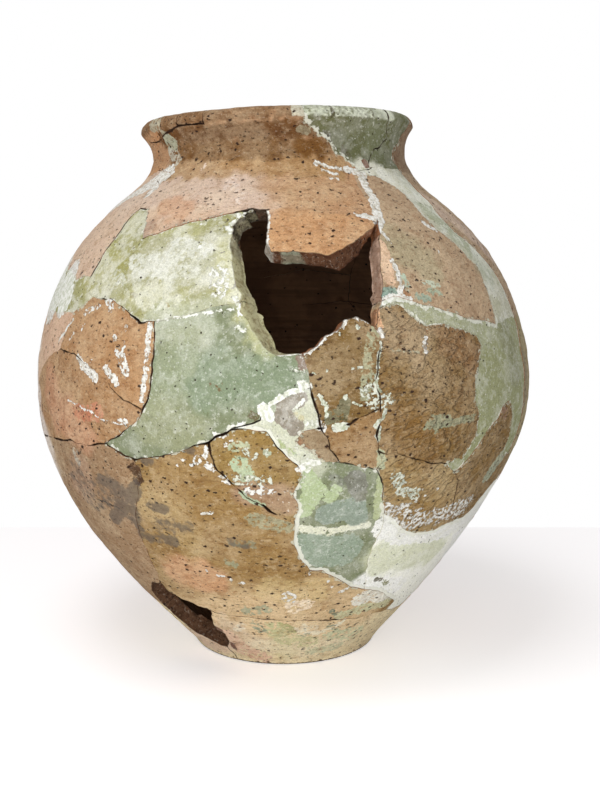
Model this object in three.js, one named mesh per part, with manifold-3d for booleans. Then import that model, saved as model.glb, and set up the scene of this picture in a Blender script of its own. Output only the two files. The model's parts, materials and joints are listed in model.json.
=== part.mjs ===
// A restored earthenware storage jar: potsherds and plaster fills glued back into one vessel.
// Millimetres, +Z up. The origin is the centre of the foot, on the surface the jar stands on.
// Azimuth 0 is the front of the jar (-Y), and it grows towards +X.
import * as THREE from 'three';
import { mergeVertices } from 'three/addons/utils/BufferGeometryUtils.js';
import Module from 'manifold-3d';

const wasm = await Module();
wasm.setup();

// Outer radii, from the foot up.
const footRadius = 110;
const footEdgeRadius = 115;
const flareRadius = 187;
const lowerBodyRadius = 242;
const underBellyRadius = 280.5;
const bellyRadius = 287.5;
const overBellyRadius = 270.5;
const shoulderRadius = 238.5;
const upperShoulderRadius = 193;
const neckFootRadius = 161;
const neckRadius = 147;
const neckTopRadius = 146;
const underLipRadius = 149;
const lipRadius = 157;

// How far each of those stations lies above the one before it.
const footEdgeRise = 8;
const flareRise = 84;
const lowerBodyRise = 80;
const underBellyRise = 86;
const bellyRise = 74;
const overBellyRise = 74;
const shoulderRise = 62;
const upperShoulderRise = 49;
const neckFootRise = 27;
const neckRise = 22;
const neckTopRise = 14;
const underLipRise = 12;
const lipRise = 12;
const lipCrown = 11;

const wall = 17;
const neckWall = 15;
const lipThickness = 20;
const floorThickness = 16;
const baseRadius = 78;
const jointGap = 0.4;

// How the pot sagged in the kiln: its centre line sways to the side, and its mouth tips.
const lowerSway = -6;
const lowerSwayRise = 150;
const mouthSway = -8;
const mouthTilt = 0.03;

// Facets of the turned surfaces.
const turnSteps = 36;
const outerStep = 40;
const innerStep = 80;
const lipSteps = 4;
const capSpan = 18;
const capHeight = 60;
const seamSpan = 12;
const seamHeight = 55;

const stations = [[footRadius, 0], [footEdgeRadius, footEdgeRise], [flareRadius, flareRise],
  [lowerBodyRadius, lowerBodyRise], [underBellyRadius, underBellyRise], [bellyRadius, bellyRise],
  [overBellyRadius, overBellyRise], [shoulderRadius, shoulderRise], [upperShoulderRadius, upperShoulderRise],
  [neckFootRadius, neckFootRise], [neckRadius, neckRise], [neckTopRadius, neckTopRise],
  [underLipRadius, underLipRise], [lipRadius, lipRise]];
const heightOf = (station) => stations.slice(0, station + 1).reduce((sum, [, rise]) => sum + rise, 0);
const stationHeights = stations.map((_, i) => heightOf(i));
const lipHeight = stationHeights.at(-1);
const rimHeight = lipHeight + lipCrown;
const bellyHeight = stationHeights[5];
const neckFootHeight = stationHeights[9];
const neckHeight = stationHeights[10];
const shoulderHeight = stationHeights[7];
const upperShoulderHeight = stationHeights[8];

const clamp01 = (t) => Math.min(Math.max(t, 0), 1);
const ease = (t) => clamp01(t) ** 2 * (3 - 2 * clamp01(t));

// A smooth curve through [height, value] pairs, held level beyond its ends.
function smoothThrough(pairs) {
  const slopes = pairs.map((_, i) => {
    const [before, after] = [pairs[Math.max(i - 1, 0)], pairs[Math.min(i + 1, pairs.length - 1)]];
    return (after[1] - before[1]) / (after[0] - before[0]);
  });
  return (height) => {
    const z = Math.min(Math.max(height, pairs[0][0]), pairs.at(-1)[0]);
    const i = Math.max(pairs.findIndex((pair) => pair[0] >= z), 1);
    const [[z0, v0], [z1, v1]] = [pairs[i - 1], pairs[i]];
    const [run, t] = [z1 - z0, (z - z0) / (z1 - z0)];
    return v0 * (1 + 2 * t) * (1 - t) ** 2 + slopes[i - 1] * run * t * (1 - t) ** 2
      + v1 * t * t * (3 - 2 * t) + slopes[i] * run * t * t * (t - 1);
  };
}

const outerRadius = smoothThrough(stations.map(([radius], i) => [stationHeights[i], radius]));
const sway = smoothThrough([[0, 0], [lowerSwayRise, lowerSway], [bellyHeight, 0],
  [neckFootHeight, mouthSway / 2], [rimHeight, mouthSway]]);

// The turned wall's outline, up the outside, over the lip and down the inside.
function wallOutline() {
  const outside = [];
  for (let i = 1; i < stations.length; i += 1) {
    const rise = stations[i][1];
    const steps = Math.ceil(rise / outerStep);
    for (let k = 0; k < steps; k += 1) outside.push(stationHeights[i - 1] + (rise * k) / steps);
  }
  const points = outside.map((z) => new THREE.Vector2(outerRadius(z), z));
  const lipMiddle = lipRadius - lipThickness / 2;
  for (let k = 0; k <= lipSteps; k += 1) {
    const turn = (Math.PI * k) / lipSteps;
    const across = lipMiddle + (lipThickness / 2) * Math.cos(turn);
    points.push(new THREE.Vector2(across, lipHeight + lipCrown * Math.sin(turn)));
  }
  const inside = [];
  const rows = Math.ceil(neckHeight / innerStep);
  for (let k = 0; k <= rows; k += 1) {
    const z = (neckHeight * k) / rows;
    const slope = (outerRadius(z + 1) - outerRadius(z - 1)) / 2;
    const thickness = wall + (neckWall - wall) * ease((z - shoulderHeight) / (neckHeight - shoulderHeight));
    const across = Math.hypot(1, slope);
    inside.unshift(new THREE.Vector2(outerRadius(z) - thickness / across, z + (thickness * slope) / across));
  }
  points.push(...inside.filter((point) => point.y > floorThickness && point.y < lipHeight));
  const floorEdge = points.at(-1).x - (points.at(-1).y - floorThickness);
  points.push(new THREE.Vector2(Math.max(floorEdge, baseRadius + 2 * jointGap), floorThickness));
  points.push(new THREE.Vector2(baseRadius + jointGap, floorThickness));
  points.push(new THREE.Vector2(baseRadius + jointGap, 0));
  points.push(points[0].clone());
  return points;
}

function solidFrom(geometry) {
  const bare = geometry.clone();
  bare.deleteAttribute('normal');
  bare.deleteAttribute('uv');
  const merged = mergeVertices(bare, 1e-4);
  return new wasm.Manifold(new wasm.Mesh({
    numProp: 3,
    vertProperties: new Float32Array(merged.attributes.position.array),
    triVerts: new Uint32Array(merged.index.array),
  }));
}

// LatheGeometry turns about Y, so its axis is stood up along Z.
const turned = (points) => new THREE.LatheGeometry(points, turnSteps).rotateX(Math.PI / 2);

// The break map. Its places are [azimuth in degrees, row], where breakRows rows make the jar's height.
const breakRows = 615;
const above = 660;
const below = -60;
const rowHeight = (row) => (row / breakRows) * rimHeight;

// Where three or more pieces meet, or a piece meets a hole.
const meet = {
  lipA: [-78, above], lipB: [-40, above], lipC: [-26.5, above], lipD: [11.5, above], lipE: [51, above],
  lipF: [70, above], lipG: [107, above], lipH: [158, above], lipI: [208, above], lipJ: [-107, above],
  chipLeft: [-60.5, 590], chipMiddle: [-42, 601], neckLeft: [-61, 556], flapRight: [27, 494],
  flapTop: [1, 509], flapLeft: [-3, 507], rimFillFoot: [33, 552], rimFillSplit: [39, 554],
  rimFillEnd: [61, 553], neckFarLeft: [-108, 552], neckFarRight: [106, 550], neckBackRight: [156, 552],
  neckBackLeft: [207, 548], plasterTop: [-47, 512], holeTop: [-6, 507], plasterCorner: [-50.5, 442],
  farFillTop: [-84, 442], blockTop: [-47, 421], blockCorner: [-52, 406], farFillFoot: [-84, 404],
  blockLeft: [-55, 366], blockRight: [-26.5, 400], holeLeft: [-9.5, 421], holeFoot: [4, 372.5],
  blockFoot: [-27.3, 314], bandTop: [5.7, 340], bandTail: [-9, 301], ochreLeft: [-13.4, 288],
  greenFoot: [-30.5, 263], greenLeft: [-37.5, 277], lowerFarLeft: [-72, 263], bellyFarLeft: [-108, 262],
  shoulderFarLeft: [-106, 440], lowHoleTop: [-40, 109], lowHoleRight: [-25, 81], lowHoleFoot: [-31, 19],
  lowHoleLeft: [-53, 66], footFront: [-28, below], baseSeamRight: [46, 67], whiteFoot: [27, 112],
  ochreFoot: [4.4, 209], ochreRight: [5, 256], wedgeFoot: [8.4, 271], wedgeTop: [8, 304],
  wedgeRight: [11.9, 268.5], midFoot: [20, 259.5], midSplit: [19.2, 319], midTop: [19.8, 374],
  holeRight: [19, 396], holeCorner: [20.5, 414], holeShoulder: [21.5, 421], brownTop: [30.8, 395],
  stripeFoot: [54, 393], stripeRight: [68, 396], knotTop: [41, 261], knotLeft: [37, 257],
  knotFoot: [40.2, 246], bandRight: [60, 248], bandCorner: [66, 247], brownFoot: [19.7, 276],
  whiteTop: [24.3, 210], whiteMiddle: [47, 179], sideFoot: [72, 218], footRight: [57, 60],
  whiteRight: [66, 62], farRight: [106, 398], farRightLow: [104, 215], farRightFoot: [102, 72],
  footFarLeft: [-80, 74], lowerFarLeftFoot: [-104, 74], footSide: [58, below], footLeftBack: [-82, below],
  footRightBack: [104, below], footBackA: [152, below], footBackB: [203, below], seamBackA: [150, 78],
  seamBackB: [200, 72], backFillRight: [158, 442], backFillLeft: [205, 436], backRight: [160, 400],
  backMiddle: [206, 398], backLowRight: [147, 290], backLowLeft: [207, 290], backFootRight: [150, 216],
  backFootLeft: [208, 214], backFarLeft: [-105.5, 212],
};

// Every break is written once, and the pieces on its two sides share it.
const breaks = {
  chipSide: ['lipA', [-75, 592], [-66, 590], 'chipLeft'],
  chipFoot: ['chipLeft', [-55, 594], [-47, 598], 'chipMiddle'],
  chipSplit: ['lipB', 'chipMiddle'],
  chipFrontFoot: ['chipMiddle', [-36, 601], [-28.5, 600], 'lipC'],
  neckLeftCrack: ['chipLeft', [-65.5, 581], [-65, 570], 'neckLeft'],
  neckFrontFoot: ['neckLeft', [-48, 552], [-33, 550], [-20, 547], [-9, 542], [-3.5, 531], [0, 516], 'flapTop'],
  flapTopLeft: ['flapLeft', 'flapTop'],
  flapTopRight: ['flapTop', [8, 508], [15, 504], [22, 500], 'flapRight'],
  streak: ['flapRight', [28, 502], [28.5, 520], [29.5, 540], 'rimFillFoot'],
  rimFillEdge: ['lipD', [11.5, 599], [17, 586], [23, 574], [24, 566], [29, 561], 'rimFillFoot'],
  rimFillUnder: ['rimFillFoot', 'rimFillSplit'],
  rimFillUnderSide: ['rimFillSplit', [46, 556], [55, 556], 'rimFillEnd'],
  rimFillSeam: ['rimFillSplit', [43, 568], [49.5, 576], [55, 585], [51, 599], 'lipE'],
  rimRight: ['rimFillEnd', [59, 562], [60, 574], [68, 584], [73, 597], 'lipF'],
  neckRightFoot: ['rimFillEnd', [74, 549], [90, 554], 'neckFarRight'],
  neckRightBack: ['neckFarRight', [104, 580], 'lipG'],
  neckBackFootA: ['neckFarRight', [122, 546], [140, 555], 'neckBackRight'],
  neckBackFootB: ['neckBackRight', [172, 547], [190, 553], 'neckBackLeft'],
  neckBackFootC: ['neckBackLeft', [222, 554], [238, 547], 'neckFarLeft'],
  neckBackA: ['neckBackRight', [161, 578], 'lipH'],
  neckBackB: ['neckBackLeft', [204, 575], 'lipI'],
  neckLeftBack: ['neckFarLeft', [-104, 585], 'lipJ'],
  neckLeftFoot: ['neckLeft', [-76, 551], [-92, 555], 'neckFarLeft'],
  shoulderLeftCrack: ['neckLeft', [-55, 545], [-49.5, 531], [-48.5, 522], 'plasterTop'],
  plasterRoof: ['plasterTop', [-43.5, 511], [-40.5, 500], [-37.5, 481], [-33, 484], [-29, 490], [-24, 495],
    [-17, 501], [-11, 505], 'holeTop'],
  holeRoof: ['holeTop', 'flapLeft'],
  plasterLeft: ['plasterTop', [-49, 502], [-48.5, 480], [-49.5, 457], 'plasterCorner'],
  farFillRoof: ['plasterCorner', [-58, 437], [-66, 447], [-74, 451], 'farFillTop'],
  farFillRight: ['plasterCorner', [-51, 431], 'blockTop'],
  farFillSlope: ['blockTop', [-49, 412], 'blockCorner'],
  farFillUnder: ['blockCorner', [-62, 403], [-73, 401], 'farFillFoot'],
  farFillLeft: ['farFillTop', [-87, 424], 'farFillFoot'],
  shoulderFarLeftFoot: ['farFillTop', [-95, 447], 'shoulderFarLeft'],
  shoulderFarLeftBack: ['neckFarLeft', [-103, 515], [-110, 480], 'shoulderFarLeft'],
  blockRoof: ['blockTop', [-42, 421], [-38.5, 417], [-34, 408], [-30, 398], 'blockRight'],
  plasterSeam: ['blockRight', [-21, 405], [-14, 415], 'holeLeft'],
  holeLeftHigh: ['holeTop', [-8.5, 500], [-12, 491], [-12.3, 476], [-11.6, 458], [-10.8, 440], 'holeLeft'],
  holeLeftLow: ['holeLeft', [-7.5, 406], [-5, 390], [-2.3, 377], [0, 372.5], 'holeFoot'],
  holeSill: ['holeFoot', [7, 379], [9, 388], [11.5, 393], [13.3, 403], [15.5, 405.5], [17.5, 401], 'holeRight'],
  holeRightLow: ['holeRight', [20.2, 404], 'holeCorner'],
  holeKnuckle: ['holeCorner', 'holeShoulder'],
  holeRightHigh: ['holeShoulder', [22.6, 433], [23.2, 448], [24.2, 466], [25.4, 480], 'flapRight'],
  flapEdge: ['flapRight', [24.6, 486], [21, 481], [17, 472], [11.8, 461.5], [8, 465], [3, 466], [-1.5, 466],
    [-2.8, 474], 'flapLeft'],
  greenRight: ['holeFoot', [5.2, 356], 'bandTop'],
  greenBand: ['bandTop', [2, 334], [0, 329], [-3, 322], [-3.4, 311], [-6.5, 306], 'bandTail'],
  greenOchre: ['bandTail', [-12, 294], 'ochreLeft'],
  greenUnder: ['ochreLeft', [-16.3, 284], [-19.5, 277], [-23.5, 271], [-28, 267], 'greenFoot'],
  greenFootLeft: ['greenFoot', [-33, 267], 'greenLeft'],
  greenLeftLow: ['greenLeft', [-33.5, 286], [-30.5, 297], [-28.4, 304], 'blockFoot'],
  greenLeftHigh: ['blockFoot', [-26, 326], [-25.5, 350], [-25.5, 380], 'blockRight'],
  blockUnder: ['blockFoot', [-31, 324], [-35.5, 334], [-36.5, 342], [-42, 354], [-48, 363], 'blockLeft'],
  blockSide: ['blockCorner', [-52.5, 394], 'blockLeft'],
  blockLowSide: ['blockLeft', [-63, 352], [-71, 320], [-73, 285], 'lowerFarLeft'],
  blockLowUnder: ['greenLeft', [-44, 273], [-50, 273], [-60, 268], 'lowerFarLeft'],
  bellyFarLeftUnder: ['lowerFarLeft', [-90, 257], 'bellyFarLeft'],
  bellyFarLeftBack: ['shoulderFarLeft', [-111, 390], [-104, 330], 'bellyFarLeft'],
  bandOchre: ['bandTail', [-5.3, 303], [-2.7, 299], [-0.8, 288], [0.5, 283], [3.7, 268], 'ochreRight'],
  bandFoot: ['ochreRight', [6.5, 262], 'wedgeFoot'],
  bandWedge: ['wedgeFoot', [5.2, 284], [3.5, 291], [4.6, 301], 'wedgeTop'],
  bandMiddle: ['wedgeTop', [7, 318], 'bandTop'],
  ochreUnder: ['ochreLeft', [-12.3, 266], [-9.5, 249], [-6, 233], [-1, 218], 'ochreFoot'],
  ochreSide: ['ochreFoot', [4.8, 221], [3.5, 238], 'ochreRight'],
  wedgeUnder: ['wedgeFoot', 'wedgeRight'],
  wedgeSide: ['wedgeTop', [9, 295], [9.8, 283], 'wedgeRight'],
  midUnder: ['wedgeRight', [14.2, 266], [17.5, 261], 'midFoot'],
  midCross: ['wedgeTop', [11, 304.5], [13.4, 307], [16.4, 314], 'midSplit'],
  midSeam: ['midSplit', [18.7, 345], 'midTop'],
  midSeamTop: ['midTop', [20, 388], 'holeRight'],
  midSeamLow: ['brownFoot', [19, 292], [19.6, 305], 'midSplit'],
  midSeamFoot: ['midFoot', [20.9, 266], 'brownFoot'],
  topSherdUnder: ['brownTop', [31, 383], [29.6, 372], [25.5, 374], 'midTop'],
  topSherdRoof: ['holeCorner', [22.5, 416], [25, 417], [27.2, 411], 'brownTop'],
  shoulderRightUnder: ['holeShoulder', [25.5, 424], [30, 417], [37, 409], [44, 401], 'stripeFoot'],
  stripeUnder: ['stripeFoot', 'stripeRight'],
  brownSide: ['brownTop', [36, 394.5], [41, 389], [44.9, 384], [46.2, 373], [44, 352], [42.2, 336],
    [42.4, 320], [44.5, 300], [44.3, 283], 'knotTop'],
  knotRoof: ['knotTop', [39, 262], 'knotLeft'],
  knotUnder: ['knotLeft', 'knotFoot'],
  brownUnder: ['knotLeft', [33, 259], [28.5, 267], [24, 273], 'brownFoot'],
  bandSide: ['knotFoot', [43, 256], [46.5, 274], [48, 285], [51.8, 296], [53, 307], [56.5, 311], [58.6, 298],
    [59.8, 270], 'bandRight'],
  bandUnder: ['bandRight', 'bandCorner'],
  bandBack: ['stripeRight', [66.5, 360], [67, 320], [68, 280], 'bandCorner'],
  sideBack: ['bandCorner', [70, 233], 'sideFoot'],
  sideUnder: ['whiteMiddle', [53, 180], [57.5, 186], [60, 201], [65, 213], 'sideFoot'],
  sideLeft: ['knotFoot', [42.5, 234], [44.5, 207], 'whiteMiddle'],
  lowRightUnder: ['whiteTop', [30, 190], [36, 178], [43, 176], 'whiteMiddle'],
  lowRightSide: ['midFoot', [22, 243], [23, 223], 'whiteTop'],
  whiteSeam: ['whiteTop', [25, 195], [24.2, 168], [24.6, 148], 'whiteFoot'],
  whiteUnder: ['whiteFoot', [33, 105], [38.5, 94], [44, 83], [47.3, 75], 'baseSeamRight'],
  greenLowSide: ['whiteFoot', [22, 118], [17, 132], [12, 146], [9, 147], [6, 160], [4.6, 178], 'ochreFoot'],
  baseSeam: ['lowHoleRight', [-16, 79], [-5, 76.5], [8.5, 75.5], [21, 70], [31, 66], 'baseSeamRight'],
  baseSeamWhite: ['baseSeamRight', [51, 62], 'footRight'],
  baseSeamSide: ['footRight', 'whiteRight'],
  whiteBack: ['whiteRight', [70, 100], [76, 150], [77, 190], 'sideFoot'],
  stripeLeft: ['rimFillFoot', [38, 546], [44, 539], [47.5, 527], [47, 507], [48, 490], [52, 470], [56, 451],
    [55.5, 428], 'stripeFoot'],
  stripeBack: ['rimFillEnd', [62.5, 540], [59, 522], [57, 503], [58, 490], [62, 474], [66, 449], [68, 424],
    'stripeRight'],
  shoulderRightBack: ['neckFarRight', [110, 520], [104, 480], [109, 440], 'farRight'],
  shoulderRightFoot: ['stripeRight', [80, 401], [93, 394], 'farRight'],
  bellyRightBack: ['farRight', [111, 340], [104, 285], 'farRightLow'],
  bellyRightFoot: ['sideFoot', [86, 223], 'farRightLow'],
  lowerRightBack: ['farRightLow', [109, 150], 'farRightFoot'],
  baseSeamRightSide: ['whiteRight', [84, 69], 'farRightFoot'],
  lowerJoin: ['greenFoot', [-29, 250], [-31, 225], [-34, 200], [-35.5, 165], [-37, 125], 'lowHoleTop'],
  lowHoleRoof: ['lowHoleTop', [-37.5, 97], [-31, 91], 'lowHoleRight'],
  lowHoleSide: ['lowHoleRight', [-26.5, 70], [-28.5, 50], [-26, 43], [-26.5, 32], 'lowHoleFoot'],
  lowHoleUnder: ['lowHoleFoot', [-36, 20], [-42, 26], [-49, 29], [-52, 43], 'lowHoleLeft'],
  lowHoleBack: ['lowHoleLeft', [-52, 80], [-48, 96], [-44, 107], 'lowHoleTop'],
  footCrack: ['lowHoleFoot', [-29, 8], 'footFront'],
  baseSeamLeft: ['lowHoleLeft', [-66, 71], 'footFarLeft'],
  greyBack: ['lowerFarLeft', [-76, 220], [-73, 170], [-79, 120], 'footFarLeft'],
  footLeftSide: ['footFarLeft', [-84, 40], 'footLeftBack'],
  baseSeamFarLeft: ['footFarLeft', 'lowerFarLeftFoot'],
  lowerLeftBackHigh: ['bellyFarLeft', 'backFarLeft'],
  lowerLeftBackLow: ['backFarLeft', [-109, 140], 'lowerFarLeftFoot'],
  footFrontSide: ['footRight', [60, 35], 'footSide'],
  footRightSide: ['farRightFoot', [106, 40], 'footRightBack'],
  baseSeamBackA: ['farRightFoot', [126, 80], 'seamBackA'],
  baseSeamBackB: ['seamBackA', [175, 71], 'seamBackB'],
  baseSeamBackC: ['seamBackB', [228, 79], 'lowerFarLeftFoot'],
  footBackSideA: ['seamBackA', [154, 40], 'footBackA'],
  footBackSideB: ['seamBackB', [205, 40], 'footBackB'],
  backShoulderA: ['neckBackRight', [150, 500], 'backFillRight'],
  backShoulderB: ['neckBackLeft', [213, 496], 'backFillLeft'],
  backFillRoof: ['backFillRight', [174, 448], [190, 435], 'backFillLeft'],
  backFillSideA: ['backFillRight', 'backRight'],
  backFillSideB: ['backFillLeft', 'backMiddle'],
  backFillUnder: ['backRight', [182, 391], 'backMiddle'],
  backShoulderFoot: ['farRight', [122, 405], [142, 393], 'backRight'],
  backShoulderLeftFoot: ['backFillLeft', [222, 446], [240, 438], 'shoulderFarLeft'],
  backBellyA: ['backRight', [152, 350], 'backLowRight'],
  backBellyB: ['backMiddle', [200, 345], 'backLowLeft'],
  backMidUnder: ['backLowRight', [165, 299], [188, 285], 'backLowLeft'],
  backLowA: ['backLowRight', [144, 255], 'backFootRight'],
  backLowB: ['backLowLeft', [203, 250], 'backFootLeft'],
  backLeftUnder: ['backLowLeft', [230, 278], 'bellyFarLeft'],
  backRightFoot: ['farRightLow', [126, 224], 'backFootRight'],
  backMidFoot: ['backFootRight', [179, 223], 'backFootLeft'],
  backLeftFoot: ['backFootLeft', [230, 207], 'backFarLeft'],
  backLowerA: ['backFootRight', [146, 140], 'seamBackA'],
  backLowerB: ['backFootLeft', [202, 145], 'seamBackB'],
};

// The inner edge of these broken faces runs on into the hole by this many degrees over the wall.
const lean = { holeLeftHigh: 1.6, holeLeftLow: 1.4, holeRightHigh: -0.6 };

const clay = {
  tan: 0xc8966e, pink: 0xcda58c, brown: 0x96734f, ochre: 0xbe9150, sooty: 0x8a7460, foot: 0xc9ab7c,
};
const plaster = { yellowGreen: 0xc8c396, blueGreen: 0xa3b498, pale: 0xe6e2d2, grey: 0xa9ab98 };

// Each piece: its colour, and the breaks round it in order.
const pieces = {
  lip_chip_left: [clay.tan, 'chipSide chipFoot chipSplit'],
  lip_chip_front: [clay.tan, 'chipSplit chipFrontFoot'],
  rim_sherd_front: [clay.tan,
    'chipFrontFoot chipFoot neckLeftCrack neckFrontFoot flapTopRight streak rimFillEdge'],
  neck_sherd_left: [clay.tan, 'neckLeftBack chipSide neckLeftCrack neckLeftFoot'],
  rim_fill_front: [plaster.grey, 'rimFillEdge rimFillUnder rimFillSeam'],
  rim_fill_side: [plaster.grey, 'rimFillSeam rimFillUnderSide rimRight'],
  rim_sherd_right: [clay.tan, 'rimRight neckRightFoot neckRightBack'],
  rim_sherd_back_right: [clay.tan, 'neckRightBack neckBackFootA neckBackA'],
  rim_sherd_back: [clay.pink, 'neckBackA neckBackFootB neckBackB'],
  rim_sherd_back_left: [clay.tan, 'neckBackB neckBackFootC neckLeftBack'],
  shoulder_sherd_left: [clay.pink, 'shoulderLeftCrack plasterRoof holeRoof flapTopLeft neckFrontFoot'],
  flap_sherd: [clay.tan, 'flapTopLeft flapTopRight flapEdge'],
  shoulder_far_left: [clay.pink,
    'neckLeftFoot shoulderFarLeftBack shoulderFarLeftFoot farFillRoof plasterLeft '
      + 'shoulderLeftCrack'],
  fill_far_left: [plaster.yellowGreen, 'farFillRoof farFillLeft farFillUnder farFillSlope farFillRight'],
  fill_shoulder_left: [plaster.yellowGreen,
    'plasterLeft farFillRight blockRoof plasterSeam holeLeftHigh plasterRoof'],
  fill_belly_front: [plaster.blueGreen,
    'plasterSeam holeLeftLow greenRight greenBand greenOchre greenUnder greenFootLeft '
      + 'greenLeftLow greenLeftHigh'],
  belly_left_block: [clay.tan, 'farFillSlope blockSide blockUnder greenLeftHigh blockRoof'],
  belly_left_lower: [clay.tan, 'blockUnder blockLowSide blockLowUnder greenLeftLow'],
  belly_far_left: [clay.pink,
    'shoulderFarLeftFoot bellyFarLeftBack bellyFarLeftUnder blockLowSide blockSide '
      + 'farFillUnder farFillLeft'],
  fill_centre_band: [plaster.pale, 'greenBand bandOchre bandFoot bandWedge bandMiddle'],
  ochre_sherd: [clay.ochre, 'greenOchre bandOchre ochreSide ochreUnder'],
  wedge_sherd: [clay.tan, 'bandWedge wedgeSide wedgeUnder'],
  belly_mid_upper: [clay.tan, 'greenRight holeSill midSeamTop midSeam midCross bandMiddle'],
  belly_mid_lower: [clay.tan, 'midCross midSeamLow midSeamFoot midUnder wedgeSide'],
  belly_right_top: [clay.brown, 'holeRightLow topSherdRoof topSherdUnder midSeamTop'],
  belly_right_main: [clay.brown, 'topSherdUnder brownSide knotRoof brownUnder midSeamLow midSeam'],
  belly_right_lower: [clay.brown, 'brownUnder knotUnder sideLeft lowRightUnder lowRightSide midSeamFoot'],
  belly_right_side: [clay.brown, 'bandSide bandUnder sideBack sideUnder sideLeft'],
  fill_right_band: [plaster.pale,
    'holeKnuckle shoulderRightUnder stripeUnder bandBack bandUnder bandSide knotUnder '
      + 'knotRoof brownSide topSherdRoof'],
  fill_right_stripe: [plaster.yellowGreen,
    'rimFillUnder rimFillUnderSide stripeBack stripeUnder stripeLeft'],
  shoulder_right: [clay.tan, 'streak stripeLeft shoulderRightUnder holeRightHigh'],
  shoulder_far_right: [clay.tan, 'neckRightFoot shoulderRightBack shoulderRightFoot stripeBack'],
  belly_far_right: [clay.tan, 'shoulderRightFoot bellyRightBack bellyRightFoot sideBack bandBack'],
  fill_lower_front: [plaster.blueGreen,
    'bandFoot wedgeUnder midUnder lowRightSide whiteSeam greenLowSide ochreSide'],
  fill_lower_right: [plaster.pale,
    'lowRightUnder sideUnder whiteBack baseSeamSide baseSeamWhite whiteUnder whiteSeam'],
  lower_body_front: [clay.tan,
    'lowerJoin lowHoleRoof baseSeam whiteUnder greenLowSide ochreUnder greenUnder'],
  lower_left_grey: [clay.sooty, 'lowerJoin lowHoleBack baseSeamLeft greyBack blockLowUnder greenFootLeft'],
  lower_far_left: [clay.tan,
    'bellyFarLeftUnder lowerLeftBackHigh lowerLeftBackLow baseSeamFarLeft greyBack'],
  lower_far_right: [clay.tan, 'bellyRightFoot lowerRightBack baseSeamRightSide whiteBack'],
  shoulder_back_right: [clay.tan,
    'neckBackFootA backShoulderA backFillSideA backShoulderFoot shoulderRightBack'],
  shoulder_back: [clay.pink, 'neckBackFootB backShoulderB backFillRoof backShoulderA'],
  shoulder_back_left: [clay.tan, 'neckBackFootC shoulderFarLeftBack backShoulderLeftFoot backShoulderB'],
  fill_back_shoulder: [plaster.yellowGreen, 'backFillRoof backFillSideB backFillUnder backFillSideA'],
  belly_back_right: [clay.brown, 'backShoulderFoot backBellyA backLowA backRightFoot bellyRightBack'],
  belly_back: [clay.tan, 'backFillUnder backBellyB backMidUnder backBellyA'],
  fill_back_belly: [plaster.blueGreen, 'backMidUnder backLowB backMidFoot backLowA'],
  belly_back_left: [clay.pink,
    'backShoulderLeftFoot bellyFarLeftBack backLeftUnder backBellyB backFillSideB'],
  belly_back_low_left: [clay.tan, 'backLeftUnder lowerLeftBackHigh backLeftFoot backLowB'],
  lower_back_right: [clay.tan, 'backRightFoot backLowerA baseSeamBackA lowerRightBack'],
  lower_back: [clay.ochre, 'backMidFoot backLowerB baseSeamBackB backLowerA'],
  lower_back_left: [clay.tan, 'backLeftFoot lowerLeftBackLow baseSeamBackC backLowerB'],
  foot_front: [clay.foot, 'baseSeam baseSeamWhite footFrontSide footCrack lowHoleSide'],
  foot_left: [clay.foot, 'baseSeamLeft footLeftSide footCrack lowHoleUnder'],
  foot_right: [clay.foot, 'baseSeamSide baseSeamRightSide footRightSide footFrontSide'],
  foot_back_right: [clay.foot, 'baseSeamBackA footBackSideA footRightSide'],
  foot_back: [clay.foot, 'baseSeamBackB footBackSideB footBackSideA'],
  foot_back_left: [clay.foot, 'baseSeamBackC baseSeamFarLeft footLeftSide footBackSideB'],
};

const turnedBy = (from, to) => ((((to - from) % 360) + 540) % 360) - 180;
const samePlace = (a, b) => Math.abs(turnedBy(a[0], b[0])) < 1e-6 && a[1] === b[1];

// A break's points, with none further apart than the seam steps. Each is [azimuth, row, lean].
function breakLine(name) {
  const corners = breaks[name].map((place) => (typeof place === 'string' ? meet[place] : place));
  const line = [[...corners[0], 0]];
  for (let i = 1; i < corners.length; i += 1) {
    const [from, to] = [corners[i - 1], corners[i]];
    const [across, up] = [turnedBy(from[0], to[0]), to[1] - from[1]];
    const steps = Math.max(1, Math.ceil(Math.max(Math.abs(across) / seamSpan, Math.abs(up) / seamHeight)));
    for (let k = 1; k <= steps; k += 1) {
      const last = i === corners.length - 1 && k === steps;
      line.push([from[0] + (across * k) / steps, from[1] + (up * k) / steps, last ? 0 : lean[name] ?? 0]);
    }
  }
  return line;
}

// The closed outline of a piece. Its breaks are listed in order, and each is turned to join the one before.
// At the rim and under the foot, an outline runs straight on from one break's open end to the next's.
function pieceOutline(name, names) {
  const lines = names.split(' ').map(breakLine);
  const joins = (place, line) => samePlace(place, line[0]) || samePlace(place, line.at(-1));
  const openEnd = ([, row]) => row === above || row === below;
  const [first, second] = lines;
  if (!joins(first.at(-1), second) && (joins(first[0], second) || openEnd(first[0]))) first.reverse();
  const outline = [...first];
  for (const line of lines.slice(1)) {
    const joined = joins(outline.at(-1), line);
    if (joined ? !samePlace(outline.at(-1), line[0]) : !openEnd(line[0])) line.reverse();
    if (!joined && !(openEnd(line[0]) && line[0][1] === outline.at(-1)[1])) throw new Error(`${name} is open`);
    outline.push(...(joined ? line.slice(1) : line));
  }
  if (samePlace(outline[0], outline.at(-1))) outline.pop();
  for (let i = 1; i < outline.length; i += 1) {
    outline[i] = [outline[i - 1][0] + turnedBy(outline[i - 1][0], outline[i][0]), ...outline[i].slice(1)];
  }
  return outline;
}

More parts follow.
